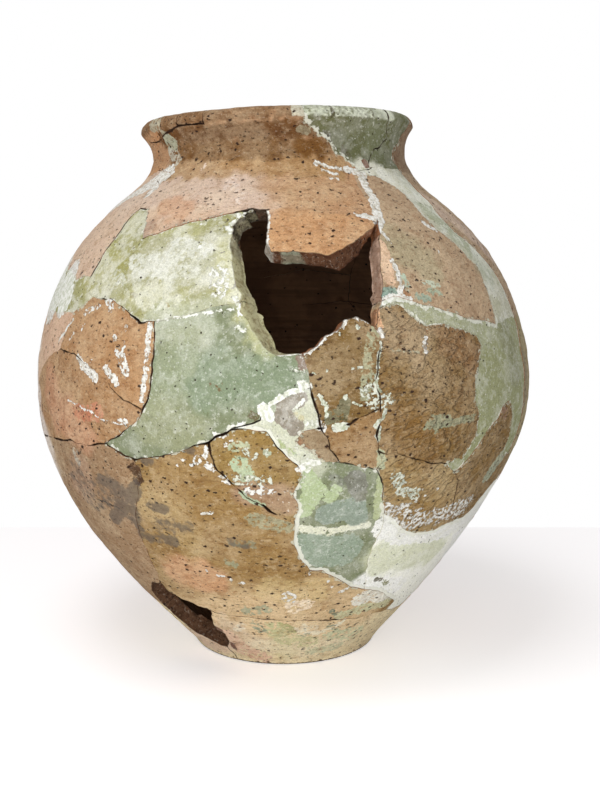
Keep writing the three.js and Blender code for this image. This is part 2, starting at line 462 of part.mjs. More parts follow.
// Draws the outline in by half the joint, so that the glue line stays open all round.
const sharpest = 0.35;
function inset(outline, distance) {
  const area = THREE.ShapeUtils.area(outline.map(([azimuth, row]) => new THREE.Vector2(azimuth, row)));
  const turn = Math.sign(area);
  return outline.map(([azimuth, row, slant], i) => {
    const radius = outerRadius(rowHeight(row));
    const local = (k) => {
      const [other, otherRow] = outline[(k + outline.length) % outline.length];
      const across = THREE.MathUtils.degToRad(other - azimuth) * radius;
      return new THREE.Vector2(across, rowHeight(otherRow - row));
    };
    const before = local(i - 1).negate().normalize();
    const after = local(i + 1).normalize();
    const mitre = new THREE.Vector2(-before.y - after.y, before.x + after.x).normalize();
    const spread = Math.max(mitre.dot(new THREE.Vector2(-after.y, after.x)), sharpest);
    const shift = mitre.multiplyScalar((turn * distance) / spread);
    const moved = azimuth + THREE.MathUtils.radToDeg(shift.x / radius);
    return { azimuth: moved, height: rowHeight(row) + shift.y, slant };
  });
}

// How steeply a broken face runs through the wall, in degrees above level, at each height.
const footPitch = -35;
const lowerPitch = -20;
const shoulderPitch = 30;
const upperShoulderPitch = 36;
const neckPitch = 4;
const breakPitch = smoothThrough([[footEdgeRise, footPitch], [stationHeights[3], lowerPitch], [bellyHeight, 0],
  [shoulderHeight, shoulderPitch], [upperShoulderHeight, upperShoulderPitch], [neckHeight, neckPitch],
  [rimHeight, 0]]);
const cutOutside = 30;
const cutInside = 46;

// The place at a distance outside (or inside, when negative) the wall's face, along the broken face.
function throughWall({ azimuth, height, slant }, distance) {
  const pitch = THREE.MathUtils.degToRad(breakPitch(height));
  const turn = THREE.MathUtils.degToRad(azimuth - (slant * distance) / wall);
  const radius = outerRadius(height) + distance * Math.cos(pitch);
  return [radius * Math.sin(turn), -radius * Math.cos(turn), height + distance * Math.sin(pitch)];
}

const middleOf = (a, b) => ({
  azimuth: (a.azimuth + b.azimuth) / 2, height: (a.height + b.height) / 2, slant: (a.slant + b.slant) / 2,
});
const tooWide = (a, b) => Math.abs(a.azimuth - b.azimuth) > capSpan;
const tooHigh = (a, b) => Math.abs(a.height - b.height) > capHeight;
const tooLong = (a, b) => tooWide(a, b) || tooHigh(a, b);

// Fills an outline with triangles small enough to follow the jar's curve.
function fillOutline(outline) {
  const points = [...outline];
  const flat = outline.map((p) => new THREE.Vector2(p.azimuth, p.height));
  let faces = THREE.ShapeUtils.triangulateShape(flat, []);
  const facing = faces.reduce((sum, face) => sum + THREE.ShapeUtils.area(face.map((k) => flat[k])), 0);
  if (facing < 0) faces = faces.map(([a, b, c]) => [a, c, b]);
  for (let split = true; split;) {
    split = false;
    const middles = new Map();
    const middle = (a, b) => {
      const key = a < b ? `${a}_${b}` : `${b}_${a}`;
      if (!middles.has(key)) middles.set(key, points.push(middleOf(points[a], points[b])) - 1);
      return middles.get(key);
    };
    const next = [];
    for (const face of faces) {
      const long = [0, 1, 2].filter((k) => tooLong(points[face[k]], points[face[(k + 1) % 3]]));
      if (long.length > 0) split = true;
      const start = long.length === 2 ? (3 - long[0] - long[1] + 1) % 3 : long[0] ?? 0;
      const [a, b, c] = [face[start], face[(start + 1) % 3], face[(start + 2) % 3]];
      if (long.length === 0) next.push(face);
      if (long.length === 1) next.push([a, middle(a, b), c], [middle(a, b), b, c]);
      if (long.length === 2) {
        const [ab, bc] = [middle(a, b), middle(b, c)];
        next.push([a, ab, c], [ab, bc, c], [ab, b, bc]);
      }
      if (long.length === 3) {
        const [ab, bc, ca] = [middle(a, b), middle(b, c), middle(c, a)];
        next.push([a, ab, ca], [ab, b, bc], [ca, bc, c], [ab, bc, ca]);
      }
    }
    faces = next;
  }
  return { points, faces };
}

// A solid that takes one piece out of the turned wall.
function cutter(outline) {
  const { points, faces } = fillOutline(outline);
  const count = points.length;
  const capAt = (distance) => points.map((p) => throughWall(p, distance));
  const vertices = [...capAt(cutOutside), ...capAt(-cutInside)];
  const triangles = faces.flatMap(([a, b, c]) => [[a, b, c], [a + count, c + count, b + count]]);
  const edges = new Set(faces.flatMap(([a, b, c]) => [`${a}_${b}`, `${b}_${c}`, `${c}_${a}`]));
  for (const edge of edges) {
    const [a, b] = edge.split('_').map(Number);
    if (edges.has(`${b}_${a}`)) continue;
    // Both sides of a joint fold each twisted face along the same diagonal, from its lower outer corner.
    if (points[a].height < points[b].height) triangles.push([b, a, b + count], [a, a + count, b + count]);
    else triangles.push([b, a, a + count], [b, a + count, b + count]);
  }
  return new wasm.Manifold(new wasm.Mesh({
    numProp: 3,
    vertProperties: new Float32Array(vertices.flat()),
    triVerts: new Uint32Array(triangles.flat()),
  }));
}

// Leans a turned place the way the pot sagged. The foot stays flat.
function sagged(x, y, z) {
  const tipped = ease((z - upperShoulderHeight) / (rimHeight - upperShoulderHeight));
  return [x + sway(z), y, z + mouthTilt * x * tipped];
}

function addPiece(jar, name, solid, colour) {
  const { vertProperties, triVerts } = solid.getMesh();
  const places = new Float32Array(vertProperties.length);
  for (let i = 0; i < vertProperties.length; i += 3) places.set(sagged(...vertProperties.slice(i, i + 3)), i);
  const geometry = new THREE.BufferGeometry();
  geometry.setAttribute('position', new THREE.BufferAttribute(places, 3));
  geometry.setIndex(new THREE.BufferAttribute(new Uint32Array(triVerts), 1));
  geometry.computeVertexNormals();
  const finish = new THREE.MeshStandardMaterial({ color: colour, roughness: 0.9, metalness: 0 });
  const mesh = new THREE.Mesh(geometry, finish);
  mesh.name = name;
  jar.add(mesh);
}

function buildJar() {
  const jar = new THREE.Group();
  const turnedWall = solidFrom(turned(wallOutline()));
  for (const [name, [colour, names]] of Object.entries(pieces)) {
    const outline = inset(pieceOutline(name, names), jointGap / 2);
    addPiece(jar, name, turnedWall.intersect(cutter(outline)), colour);
  }
  const base = [[0, 0], [baseRadius, 0], [baseRadius, floorThickness], [0, floorThickness]];
  const disc = turned(base.map(([radius, z]) => new THREE.Vector2(radius, z)));
  addPiece(jar, 'base_disc', solidFrom(disc), clay.foot);
  return jar;
}

export default buildJar();
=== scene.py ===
import json
import math

import bmesh
import bpy
import numpy as np
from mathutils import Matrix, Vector, kdtree


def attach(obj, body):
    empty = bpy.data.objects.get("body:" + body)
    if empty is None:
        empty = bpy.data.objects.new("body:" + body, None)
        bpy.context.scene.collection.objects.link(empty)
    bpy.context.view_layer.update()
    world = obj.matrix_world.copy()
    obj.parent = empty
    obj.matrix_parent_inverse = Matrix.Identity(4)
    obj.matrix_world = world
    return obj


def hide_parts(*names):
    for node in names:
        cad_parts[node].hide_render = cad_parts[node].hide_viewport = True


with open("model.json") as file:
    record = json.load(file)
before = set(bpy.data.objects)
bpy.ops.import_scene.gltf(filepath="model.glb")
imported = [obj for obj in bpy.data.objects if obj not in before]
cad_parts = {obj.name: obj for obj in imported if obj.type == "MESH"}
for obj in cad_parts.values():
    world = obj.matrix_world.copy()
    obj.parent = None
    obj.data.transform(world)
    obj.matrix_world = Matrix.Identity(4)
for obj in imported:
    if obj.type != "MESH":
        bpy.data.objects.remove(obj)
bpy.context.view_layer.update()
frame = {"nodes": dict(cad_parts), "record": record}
mm = 0.001
print("frame loaded:", len(frame["nodes"]), "nodes")

# The pot's turned form, the same sizes as its solids, in millimetres.
form = {
    "stations": [
        (0, 110), (8, 115), (92, 187), (172, 242), (258, 280.5), (332, 287.5), (406, 270.5),
        (468, 238.5), (517, 193), (544, 161), (566, 147), (580, 146), (592, 149), (604, 157),
    ],
    "neckRadius": 147,
    "lipMiddle": 147,
    "lipHalf": 10,
    "lipCrown": 11,
    "lipHeight": 604,
    "rimHeight": 615,
    "wall": 17,
    "neckWall": 15,
    "neckWallFrom": (468, 566),
    "sway": [(0, 0), (150, -6), (332, 0), (544, -4), (615, -8)],
    "tilt": 0.03,
    "tiltFrom": 517,
}


def ease(t):
    t = np.clip(t, 0, 1)
    return t * t * (3 - 2 * t)


def smoothThrough(pairs):
    # A smooth curve through (height, value) pairs, held level beyond its ends.
    zs, vs = np.array(pairs, float).T
    last = len(zs) - 1
    before, after = np.maximum(np.arange(last + 1) - 1, 0), np.minimum(np.arange(last + 1) + 1, last)
    slopes = (vs[after] - vs[before]) / (zs[after] - zs[before])

    def curve(height):
        z = np.clip(height, zs[0], zs[-1])
        i = np.clip(np.searchsorted(zs, z), 1, last)
        run = zs[i] - zs[i - 1]
        t = (z - zs[i - 1]) / run
        return (vs[i - 1] * (1 + 2 * t) * (1 - t) ** 2 + slopes[i - 1] * run * t * (1 - t) ** 2
                + vs[i] * t * t * (3 - 2 * t) + slopes[i] * run * t * t * (t - 1))

    return curve


outerRadius = smoothThrough(form["stations"])
sway = smoothThrough(form["sway"])


def tipped(z):
    return ease((z - form["tiltFrom"]) / (form["rimHeight"] - form["tiltFrom"]))


def sagged(azimuth, radius, height):
    # From places on the turned form to the pot's own: its centre line sways and its mouth tips.
    x, y = radius * np.sin(azimuth), -radius * np.cos(azimuth)
    return np.stack([x + sway(height), y, height + form["tilt"] * x * tipped(height)], -1)


def unsagged(places):
    height = places[:, 2].copy()
    for _ in range(6):
        x = places[:, 0] - sway(height)
        height = places[:, 2] - form["tilt"] * x * tipped(height)
    x = places[:, 0] - sway(height)
    return np.arctan2(x, -places[:, 1]), np.hypot(x, places[:, 1]), height


def wallNormal(row):
    slope = outerRadius(row + 0.5) - outerRadius(row - 0.5)
    across = np.hypot(1, slope)
    return 1 / across, -slope / across


def wallAt(row):
    start, end = form["neckWallFrom"]
    return form["wall"] + (form["neckWall"] - form["wall"]) * ease((row - start) / (end - start))


def wallPlace(radius, height):
    # The row of the wall that a place belongs to, and how far it lies outside the wall's face.
    row = height.copy()
    for _ in range(8):
        outX, outZ = wallNormal(row)
        depth = (radius - outerRadius(row)) * outX + (height - row) * outZ
        row = np.clip(height - depth * outZ, 0, form["lipHeight"])
    return row, depth


def lattice(cells, seed):
    # A steady pseudo-random value from -1 to 1 at each whole-numbered place.
    x, y, z = (cells[..., k].astype(np.int64) for k in range(3))
    n = (x * 374761393 + y * 668265263 + z * 1440662683 + seed * 974634777) & 0xFFFFFFFF
    n = ((n ^ (n >> 13)) * 1274126177) & 0xFFFFFFFF
    n = ((n ^ (n >> 15)) * 2246822519) & 0xFFFFFFFF
    return ((n ^ (n >> 16)) & 0xFFFFFF) / 0xFFFFFF * 2 - 1


def noise(places, size, seed):
    # Smooth noise of the given grain size, in the units of the places.
    p = places / size + seed * 17.31
    cell = np.floor(p)
    t = p - cell
    t = t * t * t * (t * (t * 6 - 15) + 10)
    total = np.zeros(len(p))
    for corner in range(8):
        step = np.array([corner & 1, corner >> 1 & 1, corner >> 2 & 1])
        share = np.prod(np.where(step, t, 1 - t), axis=1)
        total += share * lattice(cell + step, seed)
    return total


# How finely the sherds are cut, and how uneven hands, wear and breakage left them, in millimetres.
finish = {
    "frontStep": 3.4,
    "backStep": 6.0,
    "insideStep": 14.0,
    "frontEnds": 20,
    "halvings": 10,
    "breakWarp": [(34, 1.4), (13, 1.2), (6, 0.8)],
    "relief": [(70, 0.7), (26, 0.4), (11, 0.4), (6.5, 0.24)],
    "rougher": {"brown_clay": 1.5, "tan_clay": 1.1, "ochre_clay": 1.3, "pink_clay": 0.7},
    "throwingRidge": (7.0, 0.14),
    "neckRidges": (470, 80),
    "footRidges": (170, 60),
    "wearReach": 4.5,
    "wearDepth": 0.8,
    "closing": 0.19,
    "backOpening": 0.35,
    "darkFrom": 0.25,
    "unseenFrom": 76,
    "unseenRun": 12,
    "crackOpen": 0.7,
    "crackReach": 5,
    "crackFade": 3,
    "edgeReach": 40.0,
    "meetingReach": 26.0,
}

# What each node is made of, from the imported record.
slotOf = {part["node"]: part["material_slot"] for part in frame["record"]["subparts"]}
isPlaster = {name: "plaster" in slotName for name, slotName in slotOf.items()}

# How far a piece stands above (or below, when negative) the smooth form, in millimetres.
stand = {
    "fill_belly_front": -0.9, "fill_shoulder_left": -0.4, "fill_centre_band": -0.7,
    "fill_lower_front": -0.8, "fill_right_band": -0.5, "fill_right_stripe": -0.4,
    "fill_lower_right": -0.3, "rim_fill_front": 0.3, "rim_fill_side": -0.5,
    "flap_sherd": 0.4, "ochre_sherd": 0.3, "wedge_sherd": 0.4, "belly_mid_lower": -0.3,
    "belly_right_main": 0.3, "belly_right_top": 0.2, "shoulder_sherd_left": 0.3, "belly_left_block": 0.4,
}

# Joints that stand open as dark cracks: half their width in mm, and (degree, row) points along them.
cracks = [
    (0.8, [(-16.3, 284), (-13.4, 288), (-12, 294), (-9, 301), (-6.5, 306), (-3.4, 311)]),
    (0.8, [(-37.5, 277), (-34, 270), (-30.5, 263)]),
    (0.4, [(-16.3, 284), (-19.5, 277), (-23.5, 271), (-28, 267), (-30.5, 263)]),
    (1.5, [(-13.4, 288), (-12.3, 266)]),
    (0.9, [(-12.3, 266), (-9.5, 249)]),
    (1.4, [(-9.7, 247), (-7.5, 239)]),
    (0.4, [(-9.5, 249), (-6, 233), (-1, 218)]),
    (1.2, [(-2.5, 221), (4.4, 209)]),
    (0.5, [(19.2, 319), (18.7, 345), (19.8, 374)]),
    (0.7, [(20, 276), (19, 292), (19.4, 300)]),
    (1.1, [(5.7, 340), (7, 318), (8, 304)]),
    (0.9, [(13.4, 307), (16.4, 314), (19.2, 319)]),
    (0.6, [(8, 304), (9, 295), (9.8, 283), (11.9, 268.5)]),
    (0.6, [(11.9, 268.5), (14.2, 266), (17.5, 261), (20, 259.5)]),
    (0.7, [(-72, 263), (-60, 268), (-50, 273), (-44, 273), (-37.5, 277)]),
    (0.6, [(-37.5, 277), (-33.5, 286), (-30.5, 297)]),
    (0.8, [(-42, 421), (-38.5, 417), (-34, 408), (-30, 398), (-26.5, 400)]),
    (0.5, [(-26.5, 400), (-25.5, 380), (-25.5, 350), (-26, 326), (-27.3, 314)]),
    (1.0, [(39, 554), (43, 568), (49.5, 576), (55, 585), (51, 599), (51, 640)]),
    (1.2, [(-60.5, 590), (-55, 594), (-47, 598), (-42, 601), (-36, 601), (-28.5, 600), (-26.5, 640)]),
    (0.7, [(-60.5, 590), (-65.5, 581), (-65, 570)]),
    (0.6, [(-78, 640), (-75, 592), (-66, 590), (-60.5, 590)]),
    (1.1, [(-40, 640), (-42, 601)]),
    (0.5, [(-27.3, 314), (-31, 324), (-35.5, 334), (-36.5, 342), (-42, 354), (-48, 363), (-55, 366)]),
    (0.3, [(-30.5, 263), (-29, 250), (-31, 225), (-34, 200), (-35.5, 165), (-37, 125), (-40, 109)]),
    (0.7, [(-5, 76.5), (0, 76)]),
    (1.0, [(6, 75.7), (8.5, 75.5)]),
    (0.5, [(10, 75), (14, 73)]),
    (0.8, [(17, 72), (21, 70)]),
    (0.25, [(-25, 81), (-14, 78), (-5, 76.5), (8.5, 75.5), (21, 70), (31, 66)]),
    (0.6, [(-31, 19), (-29, 8), (-28, 0)]),
    (0.5, [(24, 273), (28.5, 267), (33, 259), (37, 257)]),
    (0.35, [(40.2, 246), (42.5, 234), (44.5, 207), (47, 179)]),
    (0.5, [(-50.5, 442), (-49.5, 457), (-48.5, 480), (-49, 502), (-47, 512)]),
    (0.5, [(-47, 512), (-43.5, 511), (-40.5, 500), (-37.5, 481)]),
    (0.25, [(-61, 556), (-55, 545), (-49.5, 531), (-47, 512)]),
    (0.4, [(20, 259.5), (22, 243), (23, 223)]),
    (0.3, [(-2.7, 299), (-0.8, 288), (0.5, 283), (3.7, 268)]),
]

# The two places where sherds are missing.
holes = [
    [(-6, 507), (-8.5, 500), (-12, 491), (-12.3, 476), (-11.6, 458), (-10.8, 440), (-9.5, 421),
     (-7.5, 406), (-5, 390), (-2.3, 377), (0, 372.5), (4, 372.5), (7, 379), (9, 388), (11.5, 393),
     (13.3, 403), (15.5, 405.5), (17.5, 401), (19, 396), (20.2, 404), (21.5, 421), (22.6, 433),
     (23.2, 448), (24.2, 466), (25.4, 480), (27, 494), (24.6, 486), (21, 481), (17, 472),
     (11.8, 461.5), (8, 465), (3, 466), (-1.5, 466), (-2.8, 474), (-3, 507), (-6, 507)],
    [(-40, 109), (-37.5, 97), (-31, 91), (-25, 81), (-26.5, 70), (-28.5, 50), (-26, 43), (-26.5, 32),
     (-31, 19), (-36, 20), (-42, 26), (-49, 29), (-52, 43), (-53, 66), (-52, 80), (-48, 96),
     (-44, 107), (-40, 109)],
]

# The left edge of the large hole leans in along its line: by shift at each row, and at the inside of the
# wall by slant as well, both in mm round the pot.
holeEdge = {
    "line": [(-12, 491), (-12.3, 476), (-11.6, 458), (-10.8, 440), (-9.5, 421), (-7.5, 406),
             (-5, 390), (-2.3, 377), (0, 372)],
    "reach": 28,
    "shiftRows": (370, 378, 385, 392, 400, 405, 411, 418, 424, 430, 440, 460, 480, 497),
    "shift": (-3, 2, 5, 7, 6, 6, 10, 7, 4.5, 3, 8.5, 6.5, 5.5, 1),
    "slantRows": (370, 381, 389, 397, 404, 408, 412, 416, 420, 424, 428, 432, 440, 460, 480, 497),
    "slant": (-4, 0.5, 4.5, 6, 7, 8, 11.5, 13.5, 13.8, 11.5, 9, 5.5, 2.5, 1, -2.5, 0),
    "crumbling": [(-7, 505), (-9, 500), (-12, 484)],
    "crumblingReach": 20,
}
# The lower face of the flap is slanted: how far its inner edge runs on, in mm (round the pot, down).
flapSlant = {
    "tip": (12, 461), "reach": 75, "along": 13, "down": 5, "edgeWithin": 3,
    "corner": (-2, 467), "cornerReach": 26, "cornerAlong": 5, "cornerDown": 1,
}

# Chips broken out of the skin: (degree, row, reach in mm, depth in mm).
chips = [
    (-30.5, 248, 12, 3.4), (-31, 262, 9, 2.6), (-28, 256, 7, 1.6), (-38, 279, 6, 1.5), (-26, 306, 6, 1.2),
    (-6, 495, 9, 2.4), (-11, 492, 6, 1.4), (24.5, 450, 8, 1.6), (24.8, 434, 7, 1.5), (24.3, 468, 6, 1.2),
    (7.5, 272, 5, 1.4), (-36, 590, 5, 1.0), (-58, 596, 6, 1.6), (19.6, 276, 5, 1.2), (11.5, 270, 4, 1.0),
    (-13, 286, 5, 1.4), (-52, 404, 5, 1.2), (-47, 420, 4, 1.0), (-39, 110, 6, 1.5), (-26, 80, 6, 1.5),
    (44, 300, 4, 0.8), (59, 396, 4, 0.8), (150, 300, 8, 1.8), (206, 400, 7, 1.6), (-108, 440, 6, 1.4),
]


def alongMarks(azimuth, row, points):
    # The distance in millimetres from places on the wall to a line through (degree, row) points.
    best = np.full(len(row), 1e9)
    turns, rows = np.radians([p[0] for p in points]), np.array([p[1] for p in points], float)
    radius = outerRadius(np.clip(row, 0, form["lipHeight"]))
    if len(points) == 1:
        points, turns, rows = points * 2, np.repeat(turns, 2), np.repeat(rows, 2)
    for k in range(len(points) - 1):
        away = (azimuth - turns[k] + math.pi) % (2 * math.pi) - math.pi
        across, up = away * radius, row - rows[k]
        runAcross, runUp = (turns[k + 1] - turns[k]) * radius, rows[k + 1] - rows[k]
        share = (across * runAcross + up * runUp) / np.maximum(runAcross ** 2 + runUp ** 2, 1e-9)
        share = np.clip(share, 0, 1)
        best = np.minimum(best, np.hypot(across - share * runAcross, up - share * runUp))
    return best


# How a face of a sherd is told apart: how squarely it faces out, its depth in the wall and its height in mm.
telling = {
    "outward": 0.72, "skinDepth": -5, "insideDepth": -8, "alongJoint": 0.45, "lipFrom": 602, "mouthFrom": 562,
    "footBelow": 0.5, "footFacing": -0.9, "floorBelow": 20, "floorFacing": 0.6,
}


def faceKinds(bm):
    # 0 is the skin, 1 a broken face through the wall, 2 the inside of the jar.
    centres = np.array([face.calc_center_median() for face in bm.faces]) / mm
    normals = np.array([face.normal for face in bm.faces])
    azimuth, radius, height = unsagged(centres)
    row, depth = wallPlace(radius, height)
    outX, outZ = wallNormal(row)
    sideways = normals[:, 0] * np.sin(azimuth) - normals[:, 1] * np.cos(azimuth)
    facing = sideways * outX + normals[:, 2] * outZ
    onLip = np.abs(normals[:, 0] * np.cos(azimuth) + normals[:, 1] * np.sin(azimuth)) < telling["alongJoint"]
    inward = facing < -telling["outward"]
    kinds = np.ones(len(centres), int)
    kinds[(facing > telling["outward"]) & (depth > telling["skinDepth"])] = 0
    kinds[inward & (depth < telling["insideDepth"])] = 2
    kinds[(height > telling["lipFrom"]) & onLip] = 0
    kinds[(height > telling["mouthFrom"]) & inward] = 0
    kinds[(height < telling["footBelow"]) & (normals[:, 2] < telling["footFacing"])] = 0
    kinds[(height < telling["floorBelow"]) & (normals[:, 2] > telling["floorFacing"])] = 2
    return kinds


def cutFine(bm, kinds):
    # Halves long edges until the skin is fine enough to carry chips and dents.
    for face, kind in zip(bm.faces, kinds):
        face.material_index = int(kind)
    middle = sum((vert.co.y for vert in bm.verts), 0.0) / len(bm.verts)
    fine = (finish["frontStep"] if middle < finish["frontEnds"] * mm else finish["backStep"]) * mm
    steps = {0: fine, 1: fine, 2: finish["insideStep"] * mm}
    for _ in range(finish["halvings"]):
        long = []
        for edge in bm.edges:
            length = edge.calc_length()
            if length > fine and length > min(steps[face.material_index] for face in edge.link_faces):
                long.append(edge)
        if not long:
            break
        bmesh.ops.subdivide_edges(bm, edges=long, cuts=1)
        bmesh.ops.triangulate(bm, faces=[face for face in bm.faces if len(face.verts) > 3])


# Which places are laid on the smooth form, and where they keep still, in mm up the pot or into the wall.
fitting = {
    "mouthDepth": -6, "mouthFrom": 540, "floorTop": 17, "floorRadius": 100, "wallRows": (34, 560),
    "clearOfInside": 0.4, "clearOfSkin": -0.3, "stillBelow": 6, "stillRun": 14,
    "levelFrom": 575, "levelRun": 20, "cracksOverRim": 20,
}


def worn(name, mesh):
    # Moves the fine mesh onto the smooth form, then makes it uneven, and returns what the marks need.
    count = len(mesh.vertices)
    places = np.empty(count * 3)
    mesh.vertices.foreach_get("co", places)
    places = places.reshape(-1, 3) / mm
    corners = np.empty(len(mesh.loops), int)
    mesh.loops.foreach_get("vertex_index", corners)
    corners = corners.reshape(-1, 3)
    kinds = np.empty(len(mesh.polygons), int)
    mesh.polygons.foreach_get("material_index", kinds)
    has = [np.bincount(corners[kinds == kind].ravel(), minlength=count) > 0 for kind in range(3)]
    skin, broken, inside = has[0], has[1], has[2] & ~has[0]

    azimuth, radius, height = unsagged(places)
    row, depth = wallPlace(radius, height)
    mouth = skin & (depth < fitting["mouthDepth"]) & (height > fitting["mouthFrom"])
    lip = (height > form["lipHeight"]) | mouth
    floor = (height < fitting["floorTop"]) & ~lip & (radius < fitting["floorRadius"])
    body = ~lip & ~floor
    depth = np.where(skin & body, 0, depth)
    wallFrom, wallTo = fitting["wallRows"]
    depth = np.where(inside & body & (row > wallFrom) & (row < wallTo), -wallAt(row), depth)
    onlyBroken = broken & ~skin & ~inside & body
    inmost = fitting["clearOfInside"] - wallAt(row)
    depth = np.where(onlyBroken & (row < wallTo), np.clip(depth, inmost, fitting["clearOfSkin"]), depth)
    radius = np.where(body, outerRadius(row) + depth * wallNormal(row)[0], radius)
    height = np.where(body, row + depth * wallNormal(row)[1], height)
    neckInside = form["neckRadius"] - form["neckWall"]
    mouthFlare = form["lipMiddle"] - form["lipHalf"] - neckInside
    low = form["neckWallFrom"][1]
    inner = neckInside + mouthFlare * ease((height - low) / (form["lipHeight"] - low))
    radius = np.where(mouth & (height <= form["lipHeight"]) & (height > low), inner, radius)
    crest = lip & skin & (height > form["lipHeight"])
    across = (radius - form["lipMiddle"]) / form["lipHalf"]
    up = np.maximum(height - form["lipHeight"], 0) / form["lipCrown"]
    reach = np.maximum(np.hypot(across, up), 1e-6)
    radius = np.where(crest, form["lipMiddle"] + form["lipHalf"] * across / reach, radius)
    height = np.where(crest, form["lipHeight"] + form["lipCrown"] * up / reach, height)
    drawn = (azimuth, row)  # where the break map has this place

    # Both sides of a joint take the same shift along the wall, so they still match.
    turned = np.stack([radius * np.sin(azimuth), -radius * np.cos(azimuth), height], -1)
    calm = ease((height - fitting["stillBelow"]) / fitting["stillRun"])
    alongShift, upShift = np.zeros(count), np.zeros(count)
    for k, (size, reachOf) in enumerate(finish["breakWarp"]):
        alongShift += reachOf * noise(turned, size, 11 + k)
        upShift += reachOf * noise(turned, size, 31 + k)
    leaning = np.interp(row, holeEdge["shiftRows"], holeEdge["shift"])
    inward = np.clip(-depth / form["wall"], 0, 1)
    leaning += inward * np.interp(row, holeEdge["slantRows"], holeEdge["slant"])
    alongShift += leaning * ease(1 - alongMarks(*drawn, holeEdge["line"]) / holeEdge["reach"])
    if name == "flap_sherd":
        slant = ease(1 - alongMarks(*drawn, [flapSlant["tip"]]) / flapSlant["reach"]) * inward
        slant *= alongMarks(*drawn, holes[0]) < flapSlant["edgeWithin"]
        alongShift += flapSlant["along"] * slant
        upShift -= flapSlant["down"] * slant
        corner = ease(1 - alongMarks(*drawn, [flapSlant["corner"]]) / flapSlant["cornerReach"]) * inward
        alongShift -= flapSlant["cornerAlong"] * corner
        upShift -= flapSlant["cornerDown"] * corner
    azimuth = azimuth + calm * alongShift / np.maximum(radius, 20)
    level = 1 - ease((height - fitting["levelFrom"]) / fitting["levelRun"])
    newRow = np.clip(row + calm * level * upShift, 0, form["lipHeight"])
    outX, outZ = wallNormal(newRow)
    radius = np.where(body, outerRadius(newRow) + depth * outX, radius)
    height = np.where(body, newRow + depth * outZ, height)
    row = np.where(body, newRow, row)
    turned = np.stack([radius * np.sin(azimuth), -radius * np.cos(azimuth), height], -1)

    # Joints are glued shut but for the cracks, and unseen ones at the back come and go.
    rim = height > form["lipHeight"]
    crackRow = np.where(rim, form["rimHeight"] + fitting["cracksOverRim"], drawn[1])
    opening = np.clip(0.5 + 0.9 * noise(turned, 60, 97), 0, 1) * finish["backOpening"]
    opening *= ease((np.abs(np.degrees(azimuth)) - finish["unseenFrom"]) / finish["unseenRun"])
    uneven = np.clip(0.65 + 0.8 * noise(turned, 12, 95) + 0.5 * noise(turned, 4, 96), 0.08, 2.2)
    for half, points in cracks:
        away = alongMarks(drawn[0], crackRow, points)
        reached = ease((finish["crackReach"] - away) / finish["crackFade"])
        opening = np.maximum(opening, finish["crackOpen"] * half * uneven * reached)
    rough = np.minimum.reduce([alongMarks(*drawn, ring) for ring in holes])
    free = ease((finish["crackReach"] - rough) / finish["crackFade"])

    # Dents, throwing ridges, worn edges and chips move the skin in or out.
    edge = edgeDistance(places, skin & broken, skin)
    lift = np.zeros(count)
    for k, (size, reachOf) in enumerate(finish["relief"]):
        rougher = finish["rougher"].get(slotOf[name], 0.8) if size < 20 else 1
        lift += rougher * reachOf * noise(turned, size, 51 + k)
    spacing, ridge = finish["throwingRidge"]
    ridges = noise(turned * [0.12, 0.12, 1], spacing, 71)
    nearNeck = ease((row - finish["neckRidges"][0]) / finish["neckRidges"][1])
    nearFoot = ease((finish["footRidges"][0] - row) / finish["footRidges"][1])
    lift += ridge * ridges * (0.4 + 1.6 * nearNeck + nearFoot)
    lift += np.where(rim, 0.0, stand.get(name, 0.0))
    wear = finish["wearDepth"] * (0.5 + 0.5 * noise(turned, 7, 81))
    lift -= wear * np.clip(opening * 1.3 + free, 0, 1.4) * ease(1 - edge / finish["wearReach"]) ** 2
    for degree, chipRow, reachOf, deep in chips:
        away = alongMarks(*drawn, [(degree, chipRow)]) + 0.35 * reachOf * noise(turned, reachOf * 0.6, 91)
        lift -= deep * ease((reachOf - away) / (0.45 * reachOf)) * (0.8 + 0.3 * noise(turned, 4, 92))
    moving = np.where(skin, 1.0, 0.0) * ease((height - 1) / 6)
    moving = np.where(onlyBroken, np.clip(1 + depth / 4, 0, 1) * 0.9, moving)
    lipOut = np.stack([across / form["lipHalf"], up / form["lipCrown"]], -1)
    lipOut /= np.maximum(np.linalg.norm(lipOut, axis=1), 1e-9)[:, None]
    radius = np.where(body, radius + lift * moving * outX, radius + lift * moving * 0.8 * lipOut[:, 0])
    height = np.where(body, height + lift * moving * outZ, height + lift * moving * 0.8 * lipOut[:, 1])
    height = np.where(places[:, 2] < 0.3, places[:, 2], height)
    radius = np.where(floor & ~skin, np.hypot(places[:, 0] - sway(places[:, 2]), places[:, 1]), radius)
    moved = sagged(azimuth, radius, height)

